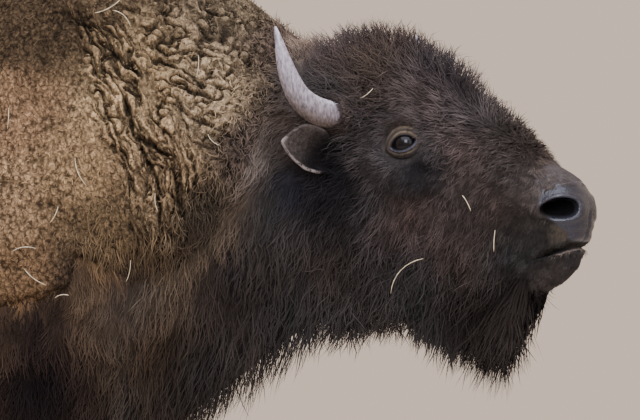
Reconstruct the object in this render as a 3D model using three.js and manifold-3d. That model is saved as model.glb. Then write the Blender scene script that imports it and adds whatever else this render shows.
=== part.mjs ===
// An American bison cow, life size, standing with her head raised and turned to her right.
// Millimetres. +X is forward, +Y is her left, +Z is up. The origin is on the ground under the
// middle of her bounding box. Each solid reaches out to the tips of the coat.
//
// The body is laid out straight, symmetrical about the plane y = 0, with x = 0 over the front
// feet. turnHead then swings everything in front of the shoulders round to the right.
import * as THREE from 'three';
import { mergeVertices } from 'three/addons/utils/BufferGeometryUtils.js';
import Module from 'manifold-3d';

const wasm = await Module();
wasm.setup();

// ---- Driving dimensions ----

const GAP = 0.6; // clearance between touching pieces
const HUMP_HEIGHT = 1620;
const EYE = { x: 657, y: 95, z: 1222, radius: 22 };
const HEAD_TURN = THREE.MathUtils.degToRad(20);
const TURN_START = 150; // the neck begins to swing here
const TURN_END = 480; // and is straight again from here to the nose
const RING_POINTS = 28; // round the trunk, neck and head
const STEPS = 2; // rings from one station to the next

const HORN_RADIUS = 25;
const HORN_TIP_RADIUS = 2.5;
const EAR_LENGTH = 122;
const EAR_WIDTH = 76;
const EAR_THICKNESS = 7;
const HOOF_HEIGHT = 62;
const TOE_SPREAD = 6; // between the two toes of a foot
const TAIL_LENGTH = 460;

// Stations of the trunk, neck and head. Each is a ring through a top and a low point of the
// profile: top x, top z, low x, low z, half width, height of the widest level as a share of the
// ring, and the fullness of the upper and the lower part (2 is an ellipse, less is keeled).
const TRUNK = {
  tailRoot: [-1338, 1130, -1332, 985, 62, 0.5, 2.0, 2.0],
  pinBones: [-1300, 1185, -1305, 830, 165, 0.52, 2.1, 2.0],
  rump: [-1190, 1238, -1195, 700, 228, 0.55, 2.1, 2.1],
  hips: [-1020, 1264, -1020, 640, 262, 0.55, 2.1, 2.2],
  loin: [-820, 1292, -820, 600, 288, 0.52, 2.0, 2.2],
  barrel: [-600, 1368, -600, 565, 312, 0.47, 1.8, 2.2],
  ribs: [-380, 1474, -380, 548, 314, 0.44, 1.65, 2.2],
  humpBack: [-190, 1572, -190, 545, 304, 0.42, 1.6, 2.1],
  hump: [-20, HUMP_HEIGHT, 20, 560, 292, 0.41, 1.6, 2.0],
  shoulder: [118, 1592, 140, 655, 272, 0.42, 1.65, 1.9],
  neckBase: [236, 1530, 255, 752, 244, 0.45, 1.75, 1.8],
};
const NECK = {
  neckBase: TRUNK.neckBase,
  neckMiddle: [345, 1452, 362, 822, 214, 0.49, 1.85, 1.8],
  napeHollow: [425, 1396, 440, 872, 178, 0.5, 1.95, 1.8],
  nape: [512, 1418, 502, 902, 140, 0.5, 2.2, 1.8],
};
const HEAD = {
  nape: NECK.nape,
  horns: [590, 1420, 566, 920, 126, 0.5, 2.4, 1.9],
  brow: [656, 1390, 628, 930, 125, 0.5, 2.5, 1.9],
  eyes: [716, 1354, 686, 943, 121, 0.5, 2.3, 1.9],
  forehead: [759, 1304, 738, 957, 110, 0.5, 2.1, 1.9],
  noseBridge: [803, 1270, 784, 968, 94, 0.5, 2.1, 2.0],
  cheek: [842, 1229, 822, 977, 81, 0.5, 2.1, 2.0],
  lipCorner: [876, 1201, 853, 984, 70, 0.52, 2.2, 2.1],
  nostrils: [912, 1175, 890, 994, 63, 0.56, 2.3, 2.1],
  lips: [934, 1158, 910, 1008, 57, 0.58, 2.4, 2.1],
  noseFront: [946, 1138, 920, 1034, 43, 0.6, 2.4, 2.1],
};

// Stations of the beard under the jaw: x, top z, low z, half width.
const BEARD = {
  back: [600, 1010, 924, 40],
  jaw: [650, 1030, 906, 56],
  middle: [705, 1035, 884, 58],
  full: [755, 1035, 860, 50],
  point: [790, 1035, 852, 38],
  front: [826, 1035, 898, 30],
  chin: [852, 1030, 962, 24],
};

// Stations of the limbs from the top down: z, x, y, half depth along x, half width along y.
const FORELEG = {
  shoulder: [860, -20, 150, 150, 88],
  elbow: [720, -10, 158, 124, 80],
  forearm: [610, 2, 160, 98, 68],
  lowerForearm: [490, 8, 156, 70, 56],
  knee: [390, 10, 152, 50, 46],
  cannonTop: [320, 6, 149, 38, 34],
  cannon: [220, 2, 147, 30, 27],
  fetlock: [128, 0, 146, 40, 38],
  pastern: [92, 10, 146, 42, 40],
  coronet: [HOOF_HEIGHT + GAP, 14, 146, 46, 43],
};
const HINDLEG = {
  hip: [1020, -1110, 140, 172, 98],
  thigh: [860, -1105, 160, 180, 104],
  stifle: [720, -1110, 164, 148, 90],
  gaskin: [600, -1150, 158, 100, 64],
  hockTop: [520, -1192, 152, 68, 46],
  hock: [455, -1206, 150, 56, 40],
  cannonTop: [380, -1196, 148, 40, 32],
  cannon: [250, -1180, 147, 31, 27],
  fetlock: [130, -1166, 146, 39, 37],
  pastern: [92, -1152, 146, 41, 39],
  coronet: [HOOF_HEIGHT + GAP, -1146, 146, 44, 42],
};
// How far each foot stands forward of its place under the body.
const STANCE = { forelegRight: 46, forelegLeft: -34, hindlegRight: -40, hindlegLeft: 62 };

// The right horn's centre line from inside the head to the tip.
const HORN_LINE = [
  [560, -62, 1256],
  [551, -112, 1267],
  [539, -150, 1270],
  [531, -180, 1280],
  [523, -205, 1298],
  [518, -225, 1327],
  [514, -236, 1354],
  [510, -241, 1378],
  [503, -242, 1404],
];

// ---- Shaping ----

// A monotone cubic curve through evenly spaced values (Fritsch and Carlson), which never
// bulges past the values at its ends.
function smoothCurve(values) {
  const steps = values.slice(1).map((v, i) => v - values[i]);
  const slopes = values.map((_, i) => {
    const before = steps[i - 1] ?? steps[i];
    const after = steps[i] ?? steps[i - 1];
    return before * after <= 0 ? 0 : (2 * before * after) / (before + after);
  });
  return (t) => {
    const i = Math.min(Math.floor(t), values.length - 2);
    const f = t - i;
    const [a, b] = [values[i], values[i + 1]];
    return (
      a + slopes[i] * f + (3 * (b - a) - 2 * slopes[i] - slopes[i + 1]) * f ** 2 +
      (2 * (a - b) + slopes[i] + slopes[i + 1]) * f ** 3
    );
  };
}

// Rows of numbers between the stations, `steps` to each interval.
function fillIn(stations, steps) {
  const rows = Object.values(stations);
  const curves = rows[0].map((_, column) => smoothCurve(rows.map((row) => row[column])));
  const count = (rows.length - 1) * steps;
  return Array.from({ length: count + 1 }, (_, i) => curves.map((curve) => curve(i / steps)));
}

// Swings a point of the straight layout round with the neck and head.
function turnHead(point) {
  const along = point.x - TURN_START;
  if (along <= 0) return point;
  const length = TURN_END - TURN_START;
  const heading = HEAD_TURN * Math.min(along / length, 1);
  const radius = length / HEAD_TURN;
  const past = Math.max(along - length, 0);
  const x = TURN_START + radius * Math.sin(heading) + past * Math.cos(heading);
  const y = -radius * (1 - Math.cos(heading)) - past * Math.sin(heading);
  return new THREE.Vector3(
    x + point.y * Math.sin(heading),
    y + point.y * Math.cos(heading),
    point.z,
  );
}

const bulge = (c, fullness) => Math.sign(c) * Math.abs(c) ** (2 / fullness);

// One ring of the body, in a plane through the top and low points of its station.
function bodyRing([topX, topZ, lowX, lowZ, half, level, upper, lower], grow = 0) {
  const top = new THREE.Vector3(topX, 0, topZ);
  const low = new THREE.Vector3(lowX, 0, lowZ);
  const up = top.clone().sub(low).normalize();
  const height = top.distanceTo(low);
  const centre = low.clone().addScaledVector(up, height * level);
  return Array.from({ length: RING_POINTS }, (_, i) => {
    const angle = (2 * Math.PI * i) / RING_POINTS;
    const [c, s] = [Math.cos(angle), Math.sin(angle)];
    const fullness = s > 0 ? upper : lower;
    const reach = height * (s > 0 ? 1 - level : level) + grow;
    const point = centre.clone().addScaledVector(up, reach * bulge(s, fullness));
    point.y = (half + grow) * bulge(c, fullness);
    return turnHead(point);
  });
}

// A closed skin over rings of equally many points, with a fan over each end.
function loft(rings) {
  const count = rings[0].length;
  const middle = (ring) =>
    ring.reduce((sum, p) => sum.add(p), new THREE.Vector3()).divideScalar(count);
  const points = [...rings.flat(), middle(rings[0]), middle(rings.at(-1))];
  const [first, last] = [points.length - 2, points.length - 1];
  const faces = [];
  for (let i = 0; i < count; i++) {
    const next = (i + 1) % count;
    for (let r = 0; r < rings.length - 1; r++) {
      const [a, b] = [r * count + i, r * count + next];
      faces.push(a, b, a + count, b, b + count, a + count);
    }
    const end = (rings.length - 1) * count;
    faces.push(next, i, first, end + i, end + next, last);
  }
  const geometry = new THREE.BufferGeometry().setFromPoints(points);
  geometry.setIndex(faces);
  return geometry;
}

// Mirrors a geometry to her left side, across y = 0 of the straight layout.
function mirrored(geometry) {
  const copy = geometry.clone().scale(1, -1, 1);
  const index = copy.index.array;
  for (let i = 0; i < index.length; i += 3) {
    [index[i + 1], index[i + 2]] = [index[i + 2], index[i + 1]];
  }
  return copy;
}

function turned(geometry) {
  const position = geometry.getAttribute('position');
  const point = new THREE.Vector3();
  for (let i = 0; i < position.count; i++) {
    const moved = turnHead(point.fromBufferAttribute(position, i));
    position.setXYZ(i, moved.x, moved.y, moved.z);
  }
  return geometry;
}

// ---- Joining and cutting ----

function solid(geometry) {
  const bare = geometry.clone();
  bare.deleteAttribute('normal');
  bare.deleteAttribute('uv');
  const merged = mergeVertices(bare, 1e-3);
  return new wasm.Manifold(
    new wasm.Mesh({
      numProp: 3,
      vertProperties: new Float32Array(merged.getAttribute('position').array),
      triVerts: new Uint32Array(merged.index.array),
    }),
  );
}

// The largest body of a solid as a geometry, so that no loose sliver of a cut is kept.
function largest(shape) {
  const bodies = shape.decompose().sort((a, b) => b.volume() - a.volume());
  const mesh = bodies[0].getMesh();
  const geometry = new THREE.BufferGeometry();
  const position = new Float32Array(mesh.vertProperties);
  geometry.setAttribute('position', new THREE.BufferAttribute(position, 3));
  geometry.setIndex([...mesh.triVerts]);
  return geometry;
}

// ---- Trunk, neck and head ----

const TRUNK_ROWS = fillIn(TRUNK, STEPS);
const NECK_ROWS = fillIn(NECK, STEPS);
const HEAD_ROWS = fillIn(HEAD, STEPS);

// A stretch of the body over its rows, started `inset` further forward.
function bodyPart(rows, inset, grow = 0) {
  const moved = rows.map((row, i) => (i ? row : shifted(row, inset)));
  return loft(moved.map((row) => bodyRing(row, grow)));
}

const shifted = (row, dx) => row.map((value, i) => (i === 0 || i === 2 ? value + dx : value));

const trunk = solid(bodyPart(TRUNK_ROWS, 0));
const trunkGrown = solid(bodyPart(TRUNK_ROWS, -GAP, GAP));
const neckGrown = solid(bodyPart(NECK_ROWS, 0, GAP));
const neck = solid(bodyPart(NECK_ROWS, GAP));
const headGrown = solid(bodyPart(HEAD_ROWS, 0, GAP));
const headCore = solid(bodyPart(HEAD_ROWS, 0, -14)); // as deep as the slit of the mouth
const headBlock = solid(bodyPart(HEAD_ROWS, GAP));

// A geometry of her right side and its mirror image, turned with the head.
const bothSides = (geometry) =>
  solid(turned(geometry.clone())).add(solid(turned(mirrored(geometry))));

function egg(centre, radii, tilt = 0) {
  const shape = new THREE.SphereGeometry(1, 16, 10).scale(...radii).rotateY(tilt);
  return shape.translate(centre[0], -centre[1], centre[2]);
}

function eyeball(radius) {
  const ball = new THREE.SphereGeometry(radius, 16, 10).rotateX(Math.PI / 2);
  return ball.translate(EYE.x, -EYE.y, EYE.z);
}

const EYE_HOLLOW = bothSides(egg([EYE.x + 4, 133, EYE.z], [54, 29, 40]));
const EYE_SOCKET = bothSides(eyeball(EYE.radius + GAP));
const NOSTRIL = bothSides(egg([916, 62, 1122], [27, 26, 13], THREE.MathUtils.degToRad(4)));

// The slit between the lips: open a little in front, and closed at its two corners.
function mouthSlit() {
  const side = new THREE.Shape([
    new THREE.Vector2(838, 1038),
    new THREE.Vector2(900, 1052),
    new THREE.Vector2(975, 1073),
    new THREE.Vector2(975, 1084),
    new THREE.Vector2(900, 1057),
  ]);
  const slot = new THREE.ExtrudeGeometry(side, { depth: 200, bevelEnabled: false });
  slot.rotateX(Math.PI / 2).translate(0, 100, 0);
  slot.deleteAttribute('normal');
  slot.deleteAttribute('uv');
  return solid(turned(mergeVertices(slot))).subtract(headCore);
}

const head = headBlock
  .subtract(EYE_HOLLOW)
  .subtract(EYE_SOCKET)
  .subtract(NOSTRIL)
  .subtract(mouthSlit());

function beard() {
  const rings = fillIn(BEARD, STEPS).map(([x, topZ, lowZ, half]) => {
    const [middle, height] = [(topZ + lowZ) / 2, (topZ - lowZ) / 2];
    return Array.from({ length: 14 }, (_, i) => {
      const angle = (2 * Math.PI * i) / 14;
      const [c, s] = [Math.cos(angle), Math.sin(angle)];
      const taper = 1 + 0.35 * s; // narrower towards the tips
      return turnHead(new THREE.Vector3(x, half * c * taper, middle + height * s));
    });
  });
  return solid(loft(rings)).subtract(headGrown).subtract(neckGrown);
}

// ---- Ears and horns ----

// A ring of `count` points square to a curve's direction.
function ringRound(centre, direction, radius, count) {
  const side = new THREE.Vector3().crossVectors(direction, new THREE.Vector3(1, 0, 0));
  side.normalize();
  const over = new THREE.Vector3().crossVectors(side, direction).normalize();
  return Array.from({ length: count }, (_, i) => {
    const angle = (2 * Math.PI * i) / count;
    return centre
      .clone()
      .addScaledVector(side, radius * Math.cos(angle))
      .addScaledVector(over, -radius * Math.sin(angle));
  });
}

function horn(grow = 0) {
  const line = new THREE.CatmullRomCurve3(HORN_LINE.map((p) => new THREE.Vector3(...p)));
  const rings = Array.from({ length: 15 }, (_, i) => {
    const t = (i / 14) ** 0.9; // closer together towards the tip
    const radius = HORN_TIP_RADIUS + (HORN_RADIUS - HORN_TIP_RADIUS) * (1 - t ** 1.9);
    return ringRound(line.getPoint(t), line.getTangent(t), radius + grow, 12);
  });
  return loft(rings);
}

// A cupped leaf: each section is a shallow trough that opens forwards and outwards.
function ear() {
  const axis = new THREE.Vector3(-0.43, -0.8, 0.41).normalize();
  const facing = new THREE.Vector3(0.8, -0.5, -0.28);
  facing.addScaledVector(axis, -facing.dot(axis)).normalize();
  const across = new THREE.Vector3().crossVectors(facing, axis);
  const root = new THREE.Vector3(553, -114, 1192);
  const side = 5; // steps across each face of the leaf
  const rings = Array.from({ length: 11 }, (_, i) => {
    const t = (i / 10) ** 0.7; // closer together towards the round end
    const width = (EAR_WIDTH / 2) * (1 - 0.45 * (1 - t) ** 2) * Math.sqrt(1 - 0.94 * t ** 3);
    const depth = 17 * (1 - 0.6 * t);
    const curl = (v) => -depth * (1 - (v / width) ** 2);
    const face = (v, lift) =>
      root
        .clone()
        .addScaledVector(axis, t * EAR_LENGTH)
        .addScaledVector(across, v)
        .addScaledVector(facing, curl(v) + lift);
    const thickness = EAR_THICKNESS * (1 - 0.55 * t);
    const front = Array.from({ length: side + 1 }, (_, k) => face(width * (1 - (2 * k) / side), 0));
    const back = Array.from({ length: side + 1 }, (_, k) =>
      face(width * ((2 * k) / side - 1), -thickness),
    );
    return [...front, ...back];
  });
  return loft(rings);
}

// ---- Limbs, hooves and tail ----

function limb(stations, stance, side) {
  const rows = fillIn(stations, 1);
  const [topZ, footZ] = [rows[0][0], rows.at(-1)[0]];
  const points = 16;
  const rings = rows.reverse().map(([z, x, y, depth, width]) => {
    const lean = stance * ((topZ - z) / (topZ - footZ));
    return Array.from({ length: points }, (_, i) => {
      const angle = (2 * Math.PI * i) / points;
      return new THREE.Vector3(
        x + lean + depth * bulge(Math.cos(angle), 2.1),
        side * y + width * bulge(Math.sin(angle), 2.1),
        z,
      );
    });
  });
  return solid(loft(rings)).subtract(trunkGrown).subtract(neckGrown);
}

// One toe's horn: flat beneath, straight on the side of the cleft, and pointed in front.
function toe(stations, stance, side, outer) {
  const [, x, y] = stations.coronet;
  const rings = [0, 0.34, 0.68, 1].map((t) => {
    const front = 72 - 26 * t;
    const back = -52 + 4 * t;
    const width = 46 - 6 * t;
    const place = (u, v) =>
      new THREE.Vector3(
        x + stance + u - 4,
        side * y + outer * side * (TOE_SPREAD / 2 + v),
        HOOF_HEIGHT * t - 0.16 * t * Math.max(-u, 0),
      );
    const rim = Array.from({ length: 9 }, (_, i) => {
      const angle = (Math.PI * i) / 8;
      const u = (front + back) / 2 + ((front - back) / 2) * Math.cos(angle);
      return place(u, width * Math.sin(angle) ** 0.7);
    });
    const cleft = [0.25, 0.5, 0.75].map((f) => place(back + (front - back) * f, 0));
    return [...rim, ...cleft];
  });
  const made = loft(outer * side > 0 ? rings : rings.map((ring) => [...ring].reverse()));
  return made;
}

function tailRings(from, to, radiusAt, count) {
  const root = new THREE.Vector3(-1318, 0, 1120);
  const path = new THREE.QuadraticBezierCurve3(
    root,
    new THREE.Vector3(-1400, 0, 1096),
    new THREE.Vector3(-1376, 0, 1120 - TAIL_LENGTH),
  );
  return Array.from({ length: count }, (_, i) => {
    const t = from + ((to - from) * i) / (count - 1);
    return ringRound(path.getPoint(t), path.getTangent(t), radiusAt(t), 10);
  });
}

const tail = solid(loft(tailRings(0, 0.62, (t) => 34 - 18 * t, 9))).subtract(trunkGrown);
const tailTuft = loft(
  tailRings(0.622, 1, (t) => 12 + 30 * Math.sin(Math.PI * Math.min(1, (t - 0.58) * 1.9)), 9),
);

// ---- The animal ----

const COAT = { roughness: 0.95, metalness: 0 };
const material = (color, finish) => new THREE.MeshStandardMaterial({ color, ...finish });
const MATERIALS = {
  cape: material('#8a6f55', COAT),
  darkCoat: material('#352c29', COAT),
  blackCoat: material('#241f1e', COAT),
  legCoat: material('#2b221e', COAT),
  horn: material('#a9a1ab', { roughness: 0.45, metalness: 0 }),
  eye: material('#120d0b', { roughness: 0.08, metalness: 0 }),
  hoof: material('#1c1917', { roughness: 0.55, metalness: 0 }),
};

const bison = new THREE.Group();
bison.name = 'american_bison';

function place(name, geometry, finish) {
  const mesh = new THREE.Mesh(geometry, finish);
  mesh.name = name;
  bison.add(mesh);
}

place('trunk', largest(trunk), MATERIALS.cape);
place('neck', largest(neck), MATERIALS.cape);
place('head', largest(head), MATERIALS.darkCoat);
place('beard', largest(beard()), MATERIALS.blackCoat);
place('tail', largest(tail), MATERIALS.darkCoat);
place('tail_tuft', tailTuft, MATERIALS.blackCoat);

const fitted = (geometry) => solid(turned(geometry)).subtract(headGrown).subtract(neckGrown);
for (const [side, pair] of [['right', (g) => g], ['left', mirrored]]) {
  const earBody = fitted(pair(ear())).subtract(solid(turned(pair(horn(GAP)))));
  place(`eye_${side}`, turned(pair(eyeball(EYE.radius))), MATERIALS.eye);
  place(`ear_${side}`, largest(earBody), MATERIALS.darkCoat);
  place(`horn_${side}`, largest(fitted(pair(horn()))), MATERIALS.horn);
}

for (const [kind, stations] of [['foreleg', FORELEG], ['hindleg', HINDLEG]]) {
  for (const [name, side] of [['Right', -1], ['Left', 1]]) {
    const stance = STANCE[kind + name];
    const label = `${kind}_${name.toLowerCase()}`;
    place(label, largest(limb(stations, stance, side)), MATERIALS.legCoat);
    place(`hoof_${label}_outer`, toe(stations, stance, side, 1), MATERIALS.hoof);
    place(`hoof_${label}_inner`, toe(stations, stance, side, -1), MATERIALS.hoof);
  }
}

// The origin goes under the middle of the bounding box.
const box = new THREE.Box3().setFromObject(bison);
bison.position.set(-(box.min.x + box.max.x) / 2, -(box.min.y + box.max.y) / 2, -box.min.z);

export default bison;
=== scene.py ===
"""An American bison cow in late winter coat, life size, built round her packed frame.

Everything is in metres in the frame, with +X forward, +Y to her left and +Z up. Places on her
body are given in millimetres in a straight layout, in which she isn't turned: x is 0 over the
front feet, y is 0 in her middle plane and z is 0 on the floor. turned and straightened go from
one to the other, so a place or a marking is given once and holds for both sides.
"""
import math

import bmesh
import bpy
import numpy as np
from bpy.props import FloatProperty, FloatVectorProperty, IntProperty, PointerProperty
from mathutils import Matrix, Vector


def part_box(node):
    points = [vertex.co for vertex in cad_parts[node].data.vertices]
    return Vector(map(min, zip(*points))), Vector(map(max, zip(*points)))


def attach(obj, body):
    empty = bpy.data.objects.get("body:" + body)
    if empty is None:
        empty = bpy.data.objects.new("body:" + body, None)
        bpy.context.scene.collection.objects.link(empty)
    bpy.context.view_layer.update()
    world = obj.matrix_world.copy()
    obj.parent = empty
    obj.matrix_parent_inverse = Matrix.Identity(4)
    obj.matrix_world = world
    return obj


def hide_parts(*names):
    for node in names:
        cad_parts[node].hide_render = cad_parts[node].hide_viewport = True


bl_info = {
    "name": "American bison cow",
    "version": (1, 0, 0),
    "blender": (4, 5, 0),
    "location": "3D View > Sidebar > Bison",
    "description": "Skin, woolly coat, horns, eyes and hooves of a life-size American bison cow",
    "category": "Object",
}

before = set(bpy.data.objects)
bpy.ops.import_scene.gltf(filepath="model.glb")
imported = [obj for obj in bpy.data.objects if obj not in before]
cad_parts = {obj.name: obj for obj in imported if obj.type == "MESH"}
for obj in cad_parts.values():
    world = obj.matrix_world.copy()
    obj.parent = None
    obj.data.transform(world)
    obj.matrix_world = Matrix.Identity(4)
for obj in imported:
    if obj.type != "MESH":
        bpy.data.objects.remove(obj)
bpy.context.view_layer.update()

MM = 0.001
BODY = "root"
SIDES = {"right": -1, "left": 1}
FEET = [f"{end}leg_{side}" for end in ("fore", "hind") for side in SIDES]
FLESH = ["trunk", "neck", "head", "tail", *FEET]


# ---- Settings ----

def linear(hex_colour):
    """An sRGB hex colour as linear red, green and blue."""
    parts = [int(hex_colour[i : i + 2], 16) / 255 for i in (1, 3, 5)]
    return tuple(c / 12.92 if c <= 0.04045 else ((c + 0.055) / 1.055) ** 2.4 for c in parts)


def length_setting(name, description, default):
    return FloatProperty(name=name, description=description, default=default, min=0.0, unit="LENGTH")


def colour_setting(name, description, hex_colour):
    return FloatVectorProperty(
        name=name, description=description, default=linear(hex_colour), subtype="COLOR", min=0.0, max=1.0
    )


def share_setting(name, description, default, most=3.0):
    return FloatProperty(
        name=name, description=description, default=default, min=0.0, max=most, subtype="FACTOR"
    )


class BisonSkinSettings(bpy.types.PropertyGroup):
    voxel: length_setting("Mesh size", "Size of the faces of the skin before they are split", 11.5 * MM)
    # Painted shade: the skin under the coat is painted darker than the coat's own colour.
    skin_shade: share_setting("Undercoat", "How light the skin is next to the coat's own colour", 0.75)
    lid_colour: colour_setting("Lid folds", "Colour of the bare folds round the eyes", "#7a6c58")
    nose_colour: colour_setting("Nose", "Colour of the bare wet skin of the nose", "#25262f")


class BisonCoatSettings(bpy.types.PropertyGroup):
    seed: IntProperty(name="Seed", description="Added to the seed of each part of the coat", default=0)
    thickness: share_setting("Thickness", "How closely the tufts stand, 1 for a full winter coat", 1.0)
    far_side: share_setting("Left side", "How closely they stand on her left side next to her right", 0.38)
    tuft_width: share_setting("Tuft width", "How broad the tufts are, 1 for a winter coat", 1.0)
    beard: length_setting("Beard", "Length of the beard at its point", 150 * MM)
    tail_tuft: length_setting("Tail tuft", "Length of the hair at the end of the tail", 265 * MM)


class BisonCapeSettings(bpy.types.PropertyGroup):
    fold: length_setting("Fold depth", "Depth of the long folds between cape and neck", 12 * MM)
    curl: length_setting("Curl depth", "Depth of the pockets between the curls of the neck", 13 * MM)
    crease: length_setting("Crease depth", "Depth of the few deepest creases", 12 * MM)
    nub: length_setting("Nub height", "How far the nubs of felt stand up", 2.6 * MM)


class BisonEyeSettings(bpy.types.PropertyGroup):
    radius: length_setting("Radius", "Radius of the eyeball", 22 * MM)
    ball_colour: colour_setting("Eyeball", "Colour of the eyeball", "#0c0c10")
    iris_colour: colour_setting("Iris", "Colour of the iris", "#100d0f")


class BisonHornSettings(bpy.types.PropertyGroup):
    sunk: length_setting("Sunk", "How far the root of each horn is pushed into the head", 46 * MM)
    collar: length_setting("Collar", "Length of the hair over the root of each horn", 33 * MM)
    # Painted highlight on the horn's sides that face up. The under sides are the horn's own brown streaks
    # with painted shade.
    painted_highlight_colour: colour_setting("Upper side", "Colour of the side towards the sky", "#e8e4ea")
    under_brown_and_shade: colour_setting("Under side", "Colour of the under side", "#64564b")


class BisonHoofSettings(bpy.types.PropertyGroup):
    edge: length_setting("Edge", "How far the edges of the hooves are rounded", 2.5 * MM)
    colour: colour_setting("Colour", "Colour of the walls of the hooves", "#2a2626")


class BisonStrawSettings(bpy.types.PropertyGroup):
    radius: length_setting("Radius", "Radius of a straw", 0.7 * MM)
    colour: colour_setting("Colour", "Colour of the dry straw", "#d2c4a4")


class BisonStudioSettings(bpy.types.PropertyGroup):
    camera_azimuth: FloatProperty(
        name="Camera angle",
        description="How far round to her front the camera stands from her right side",
        default=math.radians(8),
        subtype="ANGLE",
    )
    camera_distance: length_setting("Camera distance", "How far the camera is from her", 9.0)
    view_width: length_setting("View width", "How much of her length the picture takes in", 1036.8 * MM)
    key_light: FloatProperty(
        name="Key light", description="Power of the light from above", default=160.0, min=0.0, unit="POWER"
    )
    fill_light: share_setting("Fill light", "Strength of the light from all round", 1.15)
    floor_colour: colour_setting("Floor", "Colour of the floor", "#cfc8c0")
    wall_colour: colour_setting("Background", "Colour of the light from all round", "#dbc6b5")


class BisonSettings(bpy.types.PropertyGroup):
    skin: PointerProperty(type=BisonSkinSettings)
    coat: PointerProperty(type=BisonCoatSettings)
    cape: PointerProperty(type=BisonCapeSettings)
    eyes: PointerProperty(type=BisonEyeSettings)
    horns: PointerProperty(type=BisonHornSettings)
    hooves: PointerProperty(type=BisonHoofSettings)
    straws: PointerProperty(type=BisonStrawSettings)
    studio: PointerProperty(type=BisonStudioSettings)


# ---- The straight layout ----

TURN_START, TURN_END = 150.0, 480.0  # the neck bends between these
TURN_ANGLE = math.radians(20)
TURN_RADIUS = (TURN_END - TURN_START) / TURN_ANGLE
EYE = np.array([657.0, 95.0, 1222.0])  # her left eye


def heading(x):
    """How far the body has turned to her right at x."""
    return TURN_ANGLE * np.clip((x - TURN_START) / (TURN_END - TURN_START), 0, 1)


def bent(points):
    """Straight millimetres to turned millimetres, both from the floor between the front feet."""
    x, y, z = np.asarray(points, float).T
    angle = heading(x)
    along = np.where(x < TURN_START, x - TURN_START, np.maximum(x - TURN_END, 0))
    arc_x = TURN_START + (TURN_RADIUS + y) * np.sin(angle)
    arc_y = (TURN_RADIUS + y) * np.cos(angle) - TURN_RADIUS
    return np.stack([arc_x + along * np.cos(angle), arc_y - along * np.sin(angle), z], 1)


EYE_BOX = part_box("eye_left")
FLOOR_POINT = np.array((EYE_BOX[0] + EYE_BOX[1]) / 2) - bent([EYE])[0] * MM


def turned(points):
    """Straight millimetres to metres in the frame."""
    return bent(points) * MM + FLOOR_POINT


def straightened(places):
    """Metres in the frame to straight millimetres."""
    x, y, z = ((np.asarray(places, float) - FLOOR_POINT) / MM).T
    angle = np.clip(np.arctan2(x - TURN_START, y + TURN_RADIUS), 0, TURN_ANGLE)
    across = (x - TURN_START) * np.sin(angle) + (y + TURN_RADIUS) * np.cos(angle) - TURN_RADIUS
    along = (x - TURN_START) * np.cos(angle) - (y + TURN_RADIUS) * np.sin(angle)
    return np.stack([TURN_START + TURN_RADIUS * angle + along, across, z], 1)


def swung(directions, x):
    """Directions in the straight layout, swung round with the body at x."""
    sine, cosine = np.sin(heading(x)), np.cos(heading(x))
    forward, out, up = np.asarray(directions, float).T
    return np.stack([forward * cosine + out * sine, out * cosine - forward * sine, up], 1)


def unit(vectors):
    return vectors / np.maximum(np.linalg.norm(vectors, axis=-1, keepdims=True), 1e-9)


def ramp(values, start, end):
    """0 up to start and 1 from end, smooth between them."""
    t = np.clip((values - start) / (end - start), 0, 1)
    return t * t * (3 - 2 * t)


def hump_at(distance, width):
    """1 at no distance, falling smoothly to nothing at width."""
    return 1 - ramp(np.abs(distance), 0, width)


def mirrored(q):
    """The same places on her left side."""
    return np.stack([q[:, 0], np.abs(q[:, 1]), q[:, 2]], 1)


def mixed(first, second, share):
    """From the first colours or places towards the second, by the share at each point."""
    second = linear(second) if isinstance(second, str) else second
    return first * (1 - share[:, None]) + np.asarray(second) * share[:, None]


# ---- Repeatable patterns ----

def scattered(cells, seed):
    """A number from 0 to 1 for each cell of a grid, the same each time."""
    a, b, c = (cells[..., i].astype(np.int64).astype(np.uint64) for i in range(3))
    mixed = (a * np.uint64(73856093)) ^ (b * np.uint64(19349663)) ^ (c * np.uint64(83492791))
    mixed = (mixed + np.uint64(seed * 7919 + 17)) * np.uint64(0x9E3779B97F4A7C15)
    mixed ^= mixed >> np.uint64(29)
    mixed *= np.uint64(0xBF58476D1CE4E5B9)
    mixed ^= mixed >> np.uint64(32)
    return (mixed & np.uint64(0xFFFFFF)).astype(float) / float(0xFFFFFF)


def drift(points, size, seed):
    """Smooth noise from -1 to 1, with swells about `size` across."""
    scaled = np.asarray(points) / size
    base = np.floor(scaled)
    blend = scaled - base
    blend = blend * blend * (3 - 2 * blend)
    total = np.zeros(len(scaled))
    for corner in np.ndindex(2, 2, 2):
        share = np.prod(np.where(corner, blend, 1 - blend), axis=1)
        total += share * scattered(base + corner, seed)
    return 2 * total - 1


def clumps(points, size, seed):
    """The middle of the nearest clump, how far it is, and how far the next one is, in sizes."""
    scaled = np.asarray(points) / size
    base = np.floor(scaled)
    nearest = np.full(len(scaled), 9.0)
    second = nearest.copy()
    middle = np.zeros_like(scaled)
    for step in np.ndindex(3, 3, 3):
        cell = base + step - 1
        spot = cell + np.stack([scattered(cell, seed + i) for i in range(3)], 1)
        away = np.linalg.norm(scaled - spot, axis=1)
        closer = away < nearest
        second = np.where(closer, nearest, np.minimum(second, away))
        nearest = np.where(closer, away, nearest)
        middle[closer] = spot[closer]
    return middle * size, nearest, second


# ---- Objects and meshes ----

def select_only(obj):
    bpy.ops.object.select_all(action="DESELECT")
    obj.select_set(True)
    bpy.context.view_layer.objects.active = obj


def new_object(name, mesh):
    obj = bpy.data.objects.new(name, mesh)
    bpy.context.scene.collection.objects.link(obj)
    return obj


def copy_of_nodes(name, nodes):
    """One new object from copies of CAD nodes, with their loose triangles merged."""
    form = bmesh.new()
    for node in nodes:
        form.from_mesh(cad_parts[node].data)
    bmesh.ops.remove_doubles(form, verts=form.verts, dist=0.01 * MM)
    mesh = bpy.data.meshes.new(name)
    form.to_mesh(mesh)
    form.free()
    return new_object(name, mesh)


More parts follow.
